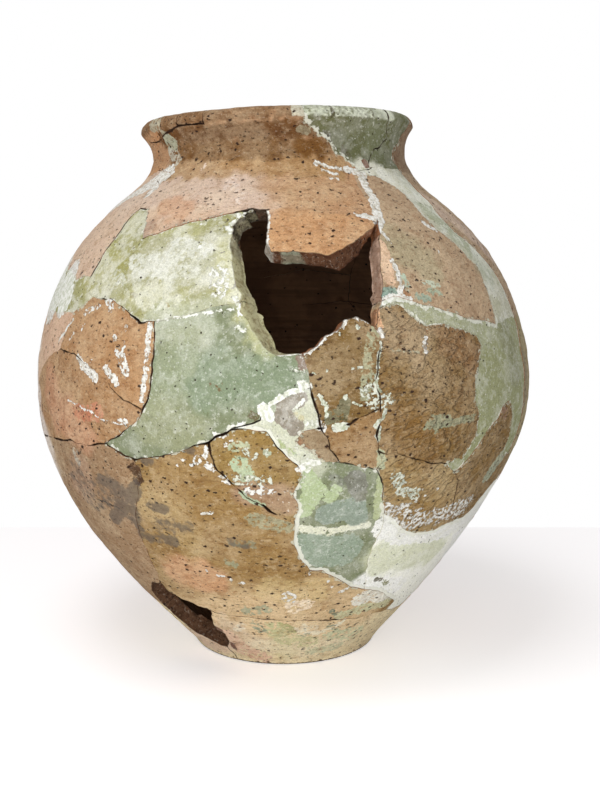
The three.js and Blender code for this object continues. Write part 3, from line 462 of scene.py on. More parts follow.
    mesh.vertices.foreach_set("co", (moved * mm).ravel())
    mesh.update()
    normals = np.empty(len(mesh.polygons) * 3)
    mesh.polygons.foreach_get("normal", normals)
    normals = normals.reshape(-1, 3)
    outward = np.zeros((count, 3))
    for k in range(3):
        np.add.at(outward, corners[kinds == 1, k], normals[kinds == 1])
    outward /= np.maximum(np.linalg.norm(outward, axis=1), 1e-9)[:, None]
    gap = opening - finish["closing"] * (1 - np.clip(opening / 0.2, 0, 1)) * (1 - free)
    crumbled = free * (0.5 * noise(turned, 5, 98) + 0.4 * noise(turned, 2.6, 99))
    rugged = ease(1 - alongMarks(*drawn, holeEdge["crumbling"]) / holeEdge["crumblingReach"])
    crumbled += rugged * (2.6 * noise(turned, 9, 89) + 1.4 * noise(turned, 4.5, 88))
    moved = moved - outward * ((gap + crumbled) * broken * ease((height - 2) / 6))[:, None]
    mesh.vertices.foreach_set("co", (moved * mm).ravel())
    mesh.update()
    # crackShade is how far a broken face lies inside an open crack or joint, away from the holes, for painted
    # shade there.
    return {
        "azimuth": drawn[0], "row": drawn[1], "depth": np.clip(-depth / wallAt(row), 0, 1),
        "skin": skin, "edgeVertices": skin & broken, "places": moved, "edge": edge, "turned": turned,
        "opening": np.maximum(opening, free), "crackShade": (1 - free) * ease(opening / finish["darkFrom"]),
    }


def nearestTree(points):
    tree = kdtree.KDTree(len(points))
    for k, place in enumerate(points):
        tree.insert(place, k)
    tree.balance()
    return tree


def distances(tree, places, wanted, cap):
    # From each wanted vertex to the tree's nearest point, in millimetres, and the cap for all others.
    found = np.full(len(places), cap)
    for k in np.flatnonzero(wanted):
        found[k] = min(tree.find(places[k])[2], cap)
    return found


def edgeDistance(places, seeds, wanted):
    if not seeds.any():
        return np.full(len(places), finish["edgeReach"])
    return distances(nearestTree(places[seeds]), places, wanted, finish["edgeReach"])


def refine(name, node):
    bm = bmesh.new()
    bm.from_mesh(node.data)
    bm.transform(node.matrix_world)
    bmesh.ops.remove_doubles(bm, verts=bm.verts, dist=0.02 * mm)
    bmesh.ops.triangulate(bm, faces=[face for face in bm.faces if len(face.verts) > 3])
    bm.normal_update()
    cutFine(bm, faceKinds(bm))
    for edge in bm.edges:
        edge.smooth = len({face.material_index for face in edge.link_faces}) == 1
    for face in bm.faces:
        face.smooth = True
    mesh = bpy.data.meshes.new(name + "Sherd")
    bm.to_mesh(mesh)
    bm.free()
    piece = bpy.data.objects.new(name + "Sherd", mesh)
    bpy.context.scene.collection.objects.link(piece)
    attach(piece, "root")
    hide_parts(name)
    return piece, worn(name, mesh)


sherds = {name: refine(name, node) for name, node in frame["nodes"].items()}
print("sherds refined:", sum(len(piece.data.polygons) for piece, _ in sherds.values()), "triangles")

# Where each material's joints run, so that plaster can be smeared over clay beside it, and clay over plaster.
edgePlaces = {kind: [data["places"][data["edgeVertices"]] for name, (_, data) in sherds.items()
                     if isPlaster[name] == kind] for kind in (True, False)}
trees = {kind: nearestTree(np.concatenate(found)) for kind, found in edgePlaces.items()}


def lightOf(shown):
    # A colour as a picture shows it, turned into the light that it reflects.
    return [v / 255 / 12.92 if v <= 10 else ((v / 255 + 0.055) / 1.055) ** 2.4 for v in shown]


def rgb(*shown):
    return (*lightOf(shown), 1)


# The clay's and the plaster's own colours, as a picture shows them: by finish, and where one piece differs.
slotColours = {
    "tan_clay": (196, 148, 106), "pink_clay": (212, 178, 152), "brown_clay": (137, 107, 61),
    "ochre_clay": (150, 121, 65), "sooty_clay": (160, 130, 98), "pale_clay": (238, 222, 184),
    "yellow_green_plaster": (165, 162, 113), "blue_green_plaster": (131, 138, 107),
    "white_plaster": (254, 254, 244), "grey_green_plaster": (109, 111, 76),
}
pieceColours = {
    "belly_left_block": (180, 138, 96), "belly_left_lower": (172, 132, 92),
    "lower_body_front": (156, 124, 74), "belly_mid_upper": (128, 100, 56),
    "belly_mid_lower": (156, 122, 80), "wedge_sherd": (150, 128, 98),
    "shoulder_right": (184, 156, 126), "shoulder_far_right": (178, 152, 124),
    "flap_sherd": (202, 156, 112), "rim_sherd_front": (190, 148, 110),
    "shoulder_far_left": (216, 188, 164), "fill_right_band": (158, 160, 120),
    "fill_right_stripe": (204, 202, 180), "fill_centre_band": (204, 205, 182),
    "belly_far_right": (160, 146, 108), "belly_right_lower": (164, 136, 88),
    "shoulder_sherd_left": (209, 178, 153), "rim_sherd_right": (146, 118, 92),
}
coreColours = {"clay": (172, 114, 76), "plaster": (212, 206, 172)}  # in the broken faces

# Broader changes of colour: (half width and soft edge in mm, strength, colour, (degree, row) points).
clayTints = [
    (16, 22, 0.8, (215, 192, 174), [(-58, 528), (-40, 535), (-20, 530), (-8, 520)]),
    (7, 9, 0.6, (198, 142, 102), [(-36, 512), (-28, 511)]),
    (12, 10, 0.7, (126, 114, 92), [(68, 345), (67, 310), (62, 288)]),
    (7, 8, 0.8, (168, 138, 122), [(-42, 489), (-38, 486)]),
    (16, 20, 0.7, (192, 152, 112), [(2, 535), (14, 530)]),
    # Painted shade: the neck darkens step by step up to the lip, where the lip's shadow falls.
    (8, 10, 0.8, (172, 136, 90), [(-50, 556), (-30, 558), (0, 556), (24, 554)]),
    (7, 8, 0.95, (118, 78, 30), [(-50, 574), (-30, 574), (0, 574), (20, 572)]),
    (6, 6, 0.95, (104, 64, 20), [(-56, 592), (-30, 591), (0, 592), (16, 592)]),
    (5, 5, 0.9, (128, 94, 60), [(-80, 607), (-40, 608), (0, 609), (12, 609)]),
    (12, 44, 0.8, (226, 198, 156), [(-20, 86), (-5, 84), (12, 82), (28, 84)]),
    (14, 18, 0.8, (206, 156, 116), [(-27, 138), (-18, 130)]),
    (14, 20, 0.6, (176, 148, 96), [(-29, 225), (-25, 205), (-22, 185)]),
    (10, 12, 0.5, (214, 190, 136), [(-2, 120), (6, 112), (12, 118)]),
    (14, 18, 0.7, (200, 150, 118), [(-58, 330), (-54, 300), (-46, 288)]),
    # Painted highlight: pale light along the left edge of the belly.
    (18, 20, 0.9, (236, 226, 218), [(-78, 350), (-74, 290), (-68, 240)]),
    (16, 18, 0.7, (140, 104, 54), [(24, 300), (30, 280)]),
    (16, 18, 0.6, (142, 112, 72), [(30, 345), (38, 335)]),
    (16, 18, 0.6, (168, 142, 110), [(22, 400), (26, 385)]),
    (12, 14, 0.7, (148, 114, 80), [(36, 385), (42, 365)]),
    (8, 12, 0.8, (152, 118, 60), [(30, 200), (38, 205), (44, 205)]),
    (14, 14, 0.6, (166, 160, 128), [(31, 470), (36, 455)]),
    (10, 12, 0.8, (204, 182, 166), [(58, 520), (66, 500), (72, 470)]),
    (8, 10, 0.7, (150, 154, 130), [(57, 452), (59, 430), (60, 405)]),
    (10, 12, 0.8, (166, 134, 108), [(-5, 240), (2, 232)]),
    (2, 3, 0.85, (142, 94, 64), [(3.4, 293), (7.4, 274)]),
    (8, 8, 0.8, (214, 202, 150), [(0, 50), (1, 20)]),
    (12, 12, 0.6, (226, 206, 180), [(-20, 60), (-16, 40)]),
    (10, 14, 0.8, (236, 208, 186), [(-52, 16), (-40, 18), (-30, 30)]),
    (8, 14, 0.5, (250, 240, 214), [(-8, 30), (10, 24), (30, 30)]),
    (12, 14, 0.5, (184, 152, 128), [(-48, 240), (-52, 220)]),
]
plasterTints = [
    (16, 18, 0.8, (178, 174, 114), [(-46, 495), (-47, 465), (-46, 440)]),
    (12, 14, 0.5, (202, 200, 176), [(-31, 464), (-24, 470), (-18, 464)]),
    (10, 12, 0.5, (200, 200, 178), [(-33, 445), (-24, 445), (-16, 450)]),
    (10, 12, 0.5, (196, 194, 164), [(-44, 440), (-40, 428)]),
    (10, 12, 0.6, (186, 184, 130), [(-34, 502), (-24, 498)]),
    (8, 10, 0.6, (190, 188, 138), [(-22, 417), (-32, 425)]),
    (7, 8, 0.7, (200, 198, 150), [(-13.5, 470), (-12, 445), (-9, 418), (-5, 392), (-1.5, 376)]),
    (12, 16, 0.7, (192, 196, 174), [(-24, 396), (-17, 402)]),
    (16, 22, 0.6, (136, 152, 126), [(-22, 355), (-10, 345), (0, 352)]),
    (14, 16, 0.6, (160, 162, 128), [(-26, 305), (-18, 295)]),
    (14, 14, 0.5, (164, 168, 136), [(-24, 325), (-20, 375)]),
    (8, 10, 0.7, (206, 208, 184), [(-2, 300), (0, 290), (4, 278), (7, 268)]),
    (8, 8, 0.9, (252, 252, 248), [(26, 122), (34, 112), (42, 104)]),
    (12, 12, 0.9, (252, 252, 250), [(62, 165), (66, 140), (72, 110)]),
    (14, 12, 0.7, (208, 212, 176), [(28, 152), (40, 150), (50, 144)]),
    (1.0, 2.2, 0.9, (230, 234, 212), [(12, 606), (25, 606), (38, 606), (54, 604)]),
    (7, 6, 0.6, (104, 106, 76), [(24, 584), (30, 577)]),
    (10, 10, 0.7, (128, 132, 102), [(44, 590), (46, 572)]),
    (8, 8, 0.9, (232, 230, 212), [(34, 552), (42, 547), (52, 540)]),
    (10, 10, 0.6, (226, 228, 212), [(56, 530), (60, 500), (62, 470)]),
    (8, 8, 0.7, (168, 174, 146), [(52, 510), (56, 480), (60, 440)]),
    (16, 12, 0.7, (176, 178, 148), [(30, 408), (40, 402), (48, 396)]),
    (12, 10, 0.5, (140, 140, 112), [(58, 380), (60, 340)]),
]
# The broken faces, where a sherd is missing.
breakTints = [
    (10, 6, 0.7, (150, 146, 122), [(-12, 484), (-12.3, 466)]),
    (9, 6, 0.95, (66, 56, 46), [(-5, 506), (-8, 501), (-11, 491)]),
    (2, 2, 0.8, (150, 144, 124), [(-11, 494), (-9, 497)]),
    (7, 5, 0.9, (204, 200, 156), [(-11.6, 458), (-10.8, 440), (-9.5, 421), (-5, 390), (-2, 376)]),
    (30, 4, 0.9, (86, 53, 34), [(-1, 466), (8, 465), (14, 466)]),
    (5, 2, 1.0, (152, 154, 132), [(2, 466), (3.5, 465)]),
    (4, 3, 0.9, (226, 224, 212), [(-3, 476), (-2.6, 467)]),
    (9, 5, 0.9, (198, 168, 148), [(24.8, 474), (23.4, 450), (22, 428)]),
    (5, 4, 0.9, (216, 166, 126), [(20.4, 412), (19.4, 398)]),
    (30, 20, 0.9, (86, 62, 44), [(-46, 96), (-52, 70), (-48, 34), (-32, 30), (-27, 60), (-34, 92)]),
]

# Marks laid over the sherds: (half width in mm, soft edge in mm, strength, (degree, row) points).
marks = {
    "limeAndGlare": [
        (1.6, 1.5, 0.8, [(-10, 288)]),
        (1.4, 1.2, 0.8, [(-9, 292)]),
        (1.4, 1.2, 0.8, [(-19, 269)]),
        (1.2, 1.2, 0.8, [(-17, 264)]),
        (1.3, 1.2, 0.8, [(-20, 262)]),
        (1.8, 1.5, 0.7, [(-14, 283), (-13.6, 279)]),
        (1.5, 1.5, 0.7, [(-10, 255)]),
        (1.4, 1.2, 0.7, [(-7, 304)]),
        # Painted highlight: broad white glare at the left edge of the belly, laid with the lime marks.
        (15, 6, 0.95, [(-64, 440), (-62, 426), (-60, 416)]),
        (22, 8, 0.9, [(-76, 438), (-74, 424), (-70, 412)]),
        (8, 4, 0.9, [(-50, 552), (-57, 544), (-65, 533), (-74, 520)]),
        (4, 4, 0.85, [(-52, 542), (-50, 530)]),
        (7, 3, 1.0, [(-53, 543), (-62, 533)]),
        (1.5, 1.5, 0.75, [(15, 556), (19, 554), (24, 552), (29, 551)]),
        (3, 2, 0.95, [(28, 552), (32, 549.5), (35, 547)]),
        (1, 1.5, 0.7, [(17, 549), (20, 547), (23, 546)]),
        (1.2, 1.5, 0.6, [(19, 542), (22, 541)]),
        (3.6, 2, 0.95, [(33.4, 546), (32.6, 535), (31.8, 525), (30.6, 516)]),
        (4.6, 2, 0.95, [(30, 514), (28.8, 504), (28, 496)]),
        (2.4, 1.5, 0.95, [(27.6, 496), (27, 488)]),
        (0.9, 1, 0.85, [(21.5, 504), (24.4, 501)]),
        (2.6, 2, 0.9, [(24.4, 501), (27.4, 496)]),
        (1.4, 1.5, 0.7, [(27.4, 488), (28, 478)]),
        (1.6, 1.5, 0.85, [(26.6, 458), (27.3, 446), (27, 434), (26.6, 425)]),
        (2.8, 1.5, 1.0, [(20.5, 416), (22, 421), (25, 423), (28.5, 421)]),
        (1.0, 1.2, 0.9, [(-51.5, 397), (-54, 386), (-56.5, 374)]),
        (0.9, 1.2, 0.6, [(-46.5, 394), (-47, 386)]),
        (0.9, 1.2, 0.6, [(-50, 384), (-51, 377)]),
        (2.5, 3, 0.5, [(-47, 406), (-45, 410), (-43, 414)]),
        (2.8, 3, 0.5, [(-40, 418), (-38.5, 410)]),
        (2, 1.5, 0.8, [(-33, 393)]),
        (2, 1.5, 0.75, [(-36, 383), (-35.4, 381)]),
        (1, 1.2, 0.6, [(-32.5, 379), (-32.7, 369)]),
        (4.5, 3, 0.62, [(-33.6, 370), (-32.6, 360), (-31.8, 351)]),
        (3.2, 2, 0.75, [(-37, 353), (-35.5, 347), (-34, 340)]),
        (2.4, 2, 0.85, [(-46.5, 361), (-44.6, 356)]),
        (4, 2.5, 0.8, [(-44.2, 354), (-42, 348), (-40, 344)]),
        (1.5, 1.5, 0.6, [(-42, 360)]),
        (2.4, 1.5, 0.9, [(-27.2, 396), (-27.1, 385), (-26.8, 372)]),
        (2.2, 2, 0.62, [(-26.8, 372), (-26.8, 350), (-27.4, 325)]),
        (2, 1.5, 0.85, [(-27.1, 344), (-27.5, 331)]),
        (1.5, 1.5, 0.7, [(-33, 303), (-31, 302)]),
        (0.7, 1, 0.55, [(-50, 317), (-45, 312), (-40, 306), (-37.5, 301), (-34.5, 299), (-31, 298)]),
        (1, 1.5, 0.7, [(-26, 401), (-22, 404), (-16, 409), (-11, 413)]),
        (5, 5, 0.5, [(-14.5, 448), (-13, 430)]),
        (1.8, 1.5, 0.8, [(-10.5, 424), (-9.4, 410)]),
        (2, 1.5, 0.8, [(-8, 394), (-9, 396)]),
        (2.4, 1.5, 0.9, [(-13.6, 489), (-13, 486)]),
        (2.5, 2, 0.75, [(-12.4, 494), (-10.5, 495)]),
        (2, 2, 0.7, [(-10.5, 502), (-7, 505)]),
        (1.4, 1.2, 0.8, [(-19, 472)]),
        (1.1, 1.2, 0.8, [(-20.5, 494)]),
        (1.3, 1.2, 1.0, [(0, 373), (4, 373), (5.5, 374.5), (8, 383), (10, 391.5), (11.5, 394)]),
        (2.8, 1.5, 1.0, [(12.2, 397), (13.4, 403)]),
        (1, 1, 0.8, [(14, 405), (16, 404.5), (18, 399)]),
        (2.4, 1.5, 0.95, [(20, 392), (20.3, 389)]),
        (2, 2, 0.9, [(-3, 505), (-3, 480), (-2.4, 466)]),
        (2.5, 2, 0.75, [(5.4, 308), (7, 307), (8.6, 303)]),
        (1.8, 1.5, 0.9, [(-1.5, 328), (1.8, 337), (5, 340.5)]),
        (2.2, 1.5, 0.8, [(3.8, 345), (5.2, 342)]),
        (5, 2.5, 0.95, [(-3, 322), (-2, 315)]),
        (1.3, 1.2, 0.8, [(2.5, 321), (4.3, 330)]),
        (2.6, 1.5, 0.9, [(5, 270), (7.6, 270)]),
        (2.5, 2, 0.8, [(4, 263), (6, 262)]),
        (2, 2, 0.7, [(2.4, 356), (4.2, 355)]),
        (4, 3, 0.6, [(24.6, 216), (25, 209), (28.5, 214)]),
        (1.6, 1.5, 0.8, [(30, 217), (31.5, 219)]),
        (1.3, 1.2, 0.8, [(34, 224)]),
        (1.6, 1.2, 0.8, [(37, 229)]),
        (1.2, 1.2, 0.7, [(32.5, 232)]),
        (9, 7, 0.52, [(26, 205), (33, 197), (42, 194), (52, 198)]),
        (1.2, 1, 0.85, [(-16, 213), (-13.6, 212)]),
        (1.1, 1, 0.85, [(-15.5, 138), (-13.6, 137)]),
        (1.2, 1, 0.85, [(-12, 133)]),
        (1.2, 1, 0.85, [(-9.7, 129), (-9, 129)]),
        (1, 1, 0.7, [(-18.5, 144)]),
        (1.3, 1, 0.8, [(9, 143)]),
        (1.5, 1, 0.8, [(14.5, 130)]),
        (1.2, 1, 0.8, [(16, 122)]),
        (1.6, 1.2, 0.7, [(19, 112), (21, 116)]),
        (2.4, 2, 0.6, [(2.5, 116), (5, 112)]),
        (2, 2, 0.6, [(2, 108), (4.5, 105)]),
        (1.5, 1.5, 0.7, [(-12, 296), (-10, 297)]),
        (1.5, 1.2, 0.8, [(-8.6, 304), (-6.5, 308)]),
        (2, 1.5, 0.8, [(-13.8, 281), (-14.2, 274)]),
        (2, 1.5, 0.85, [(-11, 253), (-9.8, 247)]),
        (3, 3, 0.5, [(-16, 270), (-12.5, 262)]),
        (3, 3, 0.5, [(-6, 240), (-1, 240)]),
        (1.8, 1.5, 0.7, [(30.5, 384), (29.6, 372)]),
        (1.3, 1.2, 0.8, [(42.5, 467)]),
        (2, 2, 0.7, [(44, 497), (47, 490)]),
        (2, 1.5, 0.6, [(27.6, 433)]),
    ],
    "chalk": [
        (1, 1, 0.75, [(20, 382), (19.8, 370), (19, 355)]),
        (2, 1.5, 0.9, [(18.8, 350), (18.7, 343), (19.2, 337)]),
        (7, 5, 0.5, [(17, 337), (18.4, 325)]),
        (3, 3, 0.55, [(20.4, 334), (21.4, 328)]),
        (1.6, 1.5, 0.9, [(20.3, 319), (19.8, 311), (18.8, 306), (18.7, 301), (19.5, 300)]),
        (1.7, 1.2, 0.9, [(19.3, 296), (19.3, 289)]),
        (1.7, 1.5, 0.8, [(12.5, 331)]),
        (1.4, 1.2, 0.7, [(14, 326), (15.5, 323)]),
        (3.4, 1.2, 1.0, [(10.8, 304), (12.4, 305)]),
        (1.6, 1.5, 0.75, [(7.6, 334), (8.8, 324), (9, 314)]),
        (1.3, 1.2, 0.8, [(6.3, 353)]),
        (1, 1, 0.7, [(9, 356)]),
        (1, 1.2, 0.6, [(13.5, 357), (16, 358)]),
        (1.6, 1.5, 0.7, [(15.6, 396)]),
        (1.5, 1.5, 0.55, [(12, 390)]),
        (5, 4, 0.6, [(24.5, 250), (26, 242)]),
        (4.5, 4, 0.6, [(27, 233), (31, 228)]),
        (4, 4, 0.5, [(-8, 251), (-2, 252)]),
        (3, 3, 0.5, [(-6.5, 282), (-4.4, 276)]),
        (1.8, 1.5, 0.75, [(-2.3, 280)]),
    ],
    # Where the plaster's border is a thick white crust.
    "crust": [
        (14, 6, 0.95, [(5, 206), (4, 190), (5, 165), (8, 152), (17, 142), (24, 122), (34, 112), (44, 100)]),
        (9, 5, 0.8, [(-6, 303), (-2, 294), (0, 284), (4, 272)]),
        (9, 5, 0.6, [(4, 258), (3.6, 232), (4, 214)]),
        (8, 5, 0.6, [(28, 416), (36, 409), (46, 401), (54, 396)]),
        (8, 5, 0.55, [(-14, 286), (-8, 300)]),
        (8, 5, 0.6, [(10, 596), (16, 584), (22, 570), (30, 560)]),
        (16, 6, 0.9, [(24, 204), (30, 188), (40, 182), (52, 184), (62, 195)]),
    ],
    "soot": [
        (5, 5, 0.9, [(-41, 237), (-38, 231)]),
        (6, 4, 0.95, [(-31, 234), (-33, 222)]),
        (6, 5, 0.95, [(-36, 209), (-42, 191)]),
        (9, 10, 0.75, [(-37, 222), (-35, 204)]),
        (13, 14, 0.5, [(-51, 231), (-48, 210), (-38, 226)]),
        (4, 5, 0.8, [(-28, 214), (-25, 214)]),
        (4, 6, 0.75, [(-35, 191), (-34, 177), (-25, 177)]),
        (6, 8, 0.5, [(-28, 195), (-20, 195)]),
        (3, 4, 0.7, [(-28, 264), (-26, 264)]),
        (3, 3, 0.7, [(-18, 279), (-17, 278)]),
        (3, 5, 0.6, [(-10, 184), (-7, 179)]),
    ],
}
# Crisp patches of other colours: (half width in mm, soft edge in mm, strength, colour, (degree, row) points).
clayPatches = [
    (0.5, 0.6, 0.95, (52, 36, 26), [(-50, 209), (-44, 211), (-41, 207), (-37, 202)]),
    (0.5, 0.6, 0.9, (60, 42, 30), [(-46, 267), (-48, 259), (-48, 251)]),
    (0.5, 0.6, 0.9, (60, 42, 30), [(-38, 260), (-37, 251)]),
    # Painted shadow: a dark contact line all round the foot where it meets the floor.
    (0.9, 1.2, 0.9, (88, 74, 54), [(-88, 0), (-60, 0), (-30, 0), (0, 0), (30, 0), (60, 0), (88, 0)]),
    (6, 5, 0.6, (196, 132, 100), [(-46, 305), (-39, 308)]),
    (9, 6, 0.7, (228, 194, 168), [(-24, 42), (-20, 20), (-12, 10)]),
    (8, 6, 0.6, (212, 214, 178), [(22, 44), (36, 40)]),
    (5, 4, 0.6, (216, 216, 184), [(14, 20), (30, 22)]),
    (4, 3, 0.7, (186, 184, 134), [(1, 68), (5, 58)]),
    (2.4, 2, 0.7, (148, 156, 132), [(20, 60), (22, 58)]),
    (9, 5, 0.8, (240, 238, 226), [(28, 98), (33, 104), (38, 92)]),
    (5, 4, 0.75, (206, 204, 166), [(22, 76), (32, 82), (42, 80)]),
    (2.2, 1.5, 0.8, (240, 232, 208), [(4, 62), (9, 54), (16, 52), (22, 58), (25, 66)]),
    (2.2, 1.5, 0.8, (240, 232, 208), [(9, 66), (10, 56)]),
    (9, 8, 0.6, (206, 204, 158), [(-2, 60), (2, 44), (12, 36)]),
    (5, 5, 0.6, (168, 168, 138), [(-10, 88), (-4, 92)]),
    (3, 3, 0.6, (140, 144, 120), [(18, 84), (20, 80)]),
    (6, 5, 0.6, (240, 222, 196), [(4, 96), (9, 100)]),
    (8, 5, 0.8, (168, 174, 150), [(64, 270), (60, 248), (56, 230)]),
    (6, 3, 0.8, (176, 176, 152), [(-53, 591), (-50, 584)]),
    (6, 4, 0.6, (202, 198, 182), [(-52, 576), (-47, 567)]),
    (4, 3, 0.6, (186, 178, 154), [(-60, 604), (-54, 602)]),
    (3.4, 2, 0.9, (198, 194, 174), [(7.6, 607), (10.4, 607)]),
    (3, 3, 0.8, (152, 142, 116), [(10, 590), (13, 589)]),
    (3, 3, 0.5, (226, 206, 190), [(-31, 556)]),
    (5, 5, 0.5, (226, 206, 192), [(-17, 536), (-14, 532)]),
    (4, 4, 0.5, (230, 212, 198), [(-11, 520)]),
    (3.5, 3, 0.6, (176, 194, 174), [(28, 444), (28.4, 432)]),
    (3, 3, 0.6, (190, 204, 186), [(33.8, 436), (37, 434)]),
    (3, 3, 0.7, (142, 164, 148), [(30.6, 423), (33.6, 420)]),
    (2.6, 3, 0.6, (164, 182, 160), [(34, 427), (37.4, 425)]),
    (4, 2, 0.9, (140, 166, 154), [(22.6, 428), (25, 428)]),
    (2.6, 2, 0.8, (160, 108, 68), [(27.6, 430), (28.4, 426)]),
    (5, 2, 0.85, (222, 188, 158), [(25.2, 474), (25.2, 455), (24.8, 440)]),
    (2.4, 1.5, 0.9, (218, 168, 128), [(20.2, 411), (20.2, 397)]),
    (3, 3, 0.7, (152, 154, 124), [(31, 306), (35.5, 304)]),
    (3, 3, 0.7, (152, 154, 124), [(29.5, 299), (38.5, 300), (42, 302)]),
    (1.8, 2, 0.6, (152, 154, 124), [(32.5, 304), (32.6, 293)]),
    (1, 1.2, 0.5, (176, 172, 146), [(20, 377), (25, 374), (29.4, 371)]),
    (4.5, 4, 0.6, (168, 168, 136), [(18.8, 390), (17.6, 374), (17, 350), (16.2, 332)]),
    (5, 3, 0.8, (124, 120, 92), [(9.6, 313), (12, 316), (12.6, 325)]),
    (2.5, 2, 0.8, (94, 88, 58), [(10.8, 313), (12.4, 313)]),
    (3, 2, 0.8, (176, 184, 150), [(20.2, 276), (20.8, 262)]),
    (7, 4, 0.7, (178, 196, 162), [(-7.4, 268), (-6, 258)]),
    (4, 3, 0.65, (184, 192, 160), [(-8.8, 285), (-6.4, 286)]),
    (3.2, 2, 0.7, (180, 190, 164), [(-2.3, 280)]),
    (2, 1.5, 0.85, (176, 192, 160), [(-7, 237), (-5, 229), (-2.6, 224)]),
    (6, 5, 0.6, (160, 156, 124), [(-5, 208), (3, 200)]),
    (6, 4, 0.8, (88, 62, 40), [(-30.4, 252), (-30, 244)]),
    (4, 3, 0.6, (186, 178, 162), [(-49, 262), (-49, 250)]),
    (5, 2, 0.95, (124, 90, 78), [(-28, 50), (-25.6, 42), (-23.6, 35), (-24.6, 24)]),
    (4, 4, 0.6, (152, 160, 136), [(-9, 66), (-7.6, 58)]),
    (3, 3, 0.5, (146, 154, 128), [(9, 48), (11, 50)]),
    (3, 4, 0.5, (150, 150, 118), [(-12, 158), (-10, 153)]),
    (3.4, 4, 0.55, (140, 134, 104), [(-10, 180), (-5, 178)]),
    (3.5, 3, 0.5, (236, 224, 196), [(8, 62), (14, 60)]),
    (3.5, 3, 0.5, (240, 228, 204), [(-14, 64), (-18, 56)]),
    (5, 4, 0.6, (150, 118, 94), [(52, 306), (55, 298)]),
]
plasterPatches = [
    (7, 5, 0.62, (208, 208, 190), [(-37, 455), (-30, 459), (-24, 462)]),
    (6, 4, 0.6, (208, 208, 190), [(-33, 447), (-26, 446), (-19, 449)]),
    (5, 4, 0.55, (206, 206, 186), [(-41, 444), (-37, 439)]),
    (7, 5, 0.6, (210, 210, 194), [(-25, 474), (-18, 469)]),
    (0.9, 0.6, 0.95, (92, 78, 46), [(-9, 421), (-8.6, 413)]),
    (1, 1, 0.8, (112, 100, 66), [(-11, 444), (-10.5, 434)]),
    (0.5, 0.4, 0.8, (96, 84, 58), [(-14.6, 466), (-14, 467)]),
    (0.6, 0.6, 0.8, (96, 88, 64), [(-13.5, 498), (-14.5, 492)]),
    (1, 1, 0.7, (92, 88, 62), [(22, 603), (23, 603)]),
    (1, 1, 0.7, (92, 88, 62), [(32, 602)]),
    (1.2, 1, 0.6, (88, 84, 60), [(44, 603), (45, 602)]),
    (9, 3, 0.95, (178, 192, 148), [(5, 256), (8, 240), (6, 222)]),
    (5, 3, 0.9, (178, 192, 148), [(12, 240), (11, 232)]),
    (10, 3, 0.95, (146, 158, 142), [(11, 213), (17, 220), (18, 206)]),
    (9, 2, 1.0, (122, 122, 108), [(15.6, 250), (16.8, 241)]),
    (6, 3, 0.8, (134, 134, 118), [(17.5, 236), (17.5, 228)]),
    (4.5, 2, 0.95, (184, 192, 150), [(21.7, 252), (22, 230), (22.8, 208)]),
    (3, 2, 0.85, (224, 224, 202), [(5.5, 199), (9, 196), (14, 194), (21, 197)]),
    (17, 5, 0.9, (148, 162, 142), [(8, 174), (13, 168), (17, 168)]),
    (13, 5, 0.85, (244, 244, 238), [(26, 192), (33, 180), (46, 174), (58, 178), (68, 172)]),
    (2.5, 2, 0.7, (150, 142, 86), [(-33.5, 425), (-32.6, 424)]),
    (2.5, 2, 0.6, (160, 150, 92), [(-24, 416)]),
    (2, 2, 0.7, (110, 84, 50), [(-21.6, 473), (-20.6, 472)]),
    (5, 4, 0.5, (164, 160, 104), [(-31, 441), (-28, 439)]),
    (5, 4, 0.5, (164, 160, 100), [(-40, 456), (-37, 448)]),
    (4, 4, 0.5, (168, 164, 108), [(-45, 478), (-41, 470)]),
    (3.5, 4, 0.35, (122, 106, 76), [(-13, 344), (-11, 341)]),
    (3, 2, 0.7, (104, 96, 66), [(-5.4, 318), (-4.4, 314)]),
    (4, 2, 0.9, (138, 118, 102), [(4, 368), (4.4, 360)]),
    (6, 1.5, 0.95, (152, 143, 128), [(0.6, 324), (4, 331)]),
    (8, 1.5, 0.95, (150, 141, 126), [(0.6, 315), (3, 306)]),
    (2.6, 1.5, 0.9, (202, 196, 160), [(3, 316), (4.2, 313)]),
    (3, 2, 0.6, (176, 186, 136), [(0, 290), (2, 284)]),
    (2.5, 2, 0.6, (170, 184, 132), [(3.6, 280), (4.6, 276)]),
    (3, 2, 0.7, (120, 124, 104), [(11, 256), (13, 247)]),
    (3, 3, 0.6, (84, 80, 56), [(20.5, 586), (22.5, 580)]),
    (3, 3, 0.6, (96, 92, 66), [(28, 572), (30, 568)]),
    (2.4, 2, 0.7, (84, 74, 50), [(26, 611), (28, 611)]),
    (2, 2, 0.7, (84, 74, 50), [(40, 608), (41, 607)]),
    (2.6, 1.5, 0.95, (122, 78, 50), [(37.4, 560), (38.2, 557)]),
    (3, 3, 0.5, (150, 150, 116), [(34, 118), (35, 114)]),
    (2, 2, 0.7, (90, 84, 60), [(30, 124), (32, 122)]),
]


def painted(data, strokes):
    value = np.zeros(len(data["row"]))
    for half, soft, strength, points in strokes:
        away = alongMarks(data["azimuth"], data["row"], points)
        value = np.maximum(value, strength * ease((half + soft - away) / soft))
    return value


def tinted(data, own, tints):
    colours = np.repeat(np.array([lightOf(own)]), len(data["row"]), axis=0)
    for half, soft, strength, colour, points in tints:
        away = alongMarks(data["azimuth"], data["row"], points)
        near = away < half + 2 * soft
        away = away[near] + 0.6 * soft * noise(data["turned"][near], soft * 0.9, 41)
        share = strength * ease((half + soft - away) / soft)
        colours[near] += share[:, None] * (np.array(lightOf(colour)) - colours[near])
    return colours


def patched(data, strokes):
    # How strongly each place is patched, and the colour of the patch that reaches it most.
    value, colours = np.zeros(len(data["row"])), np.full((len(data["row"]), 3), 0.5)
    reached = np.full(len(value), 1e9)
    for half, soft, strength, colour, points in strokes:
        away = alongMarks(data["azimuth"], data["row"], points)
        value = np.maximum(value, strength * ease((half + soft - away) / soft))
        nearer = away - half < reached
        reached = np.where(nearer, away - half, reached)
        colours[nearer] = lightOf(colour)
    return value, colours


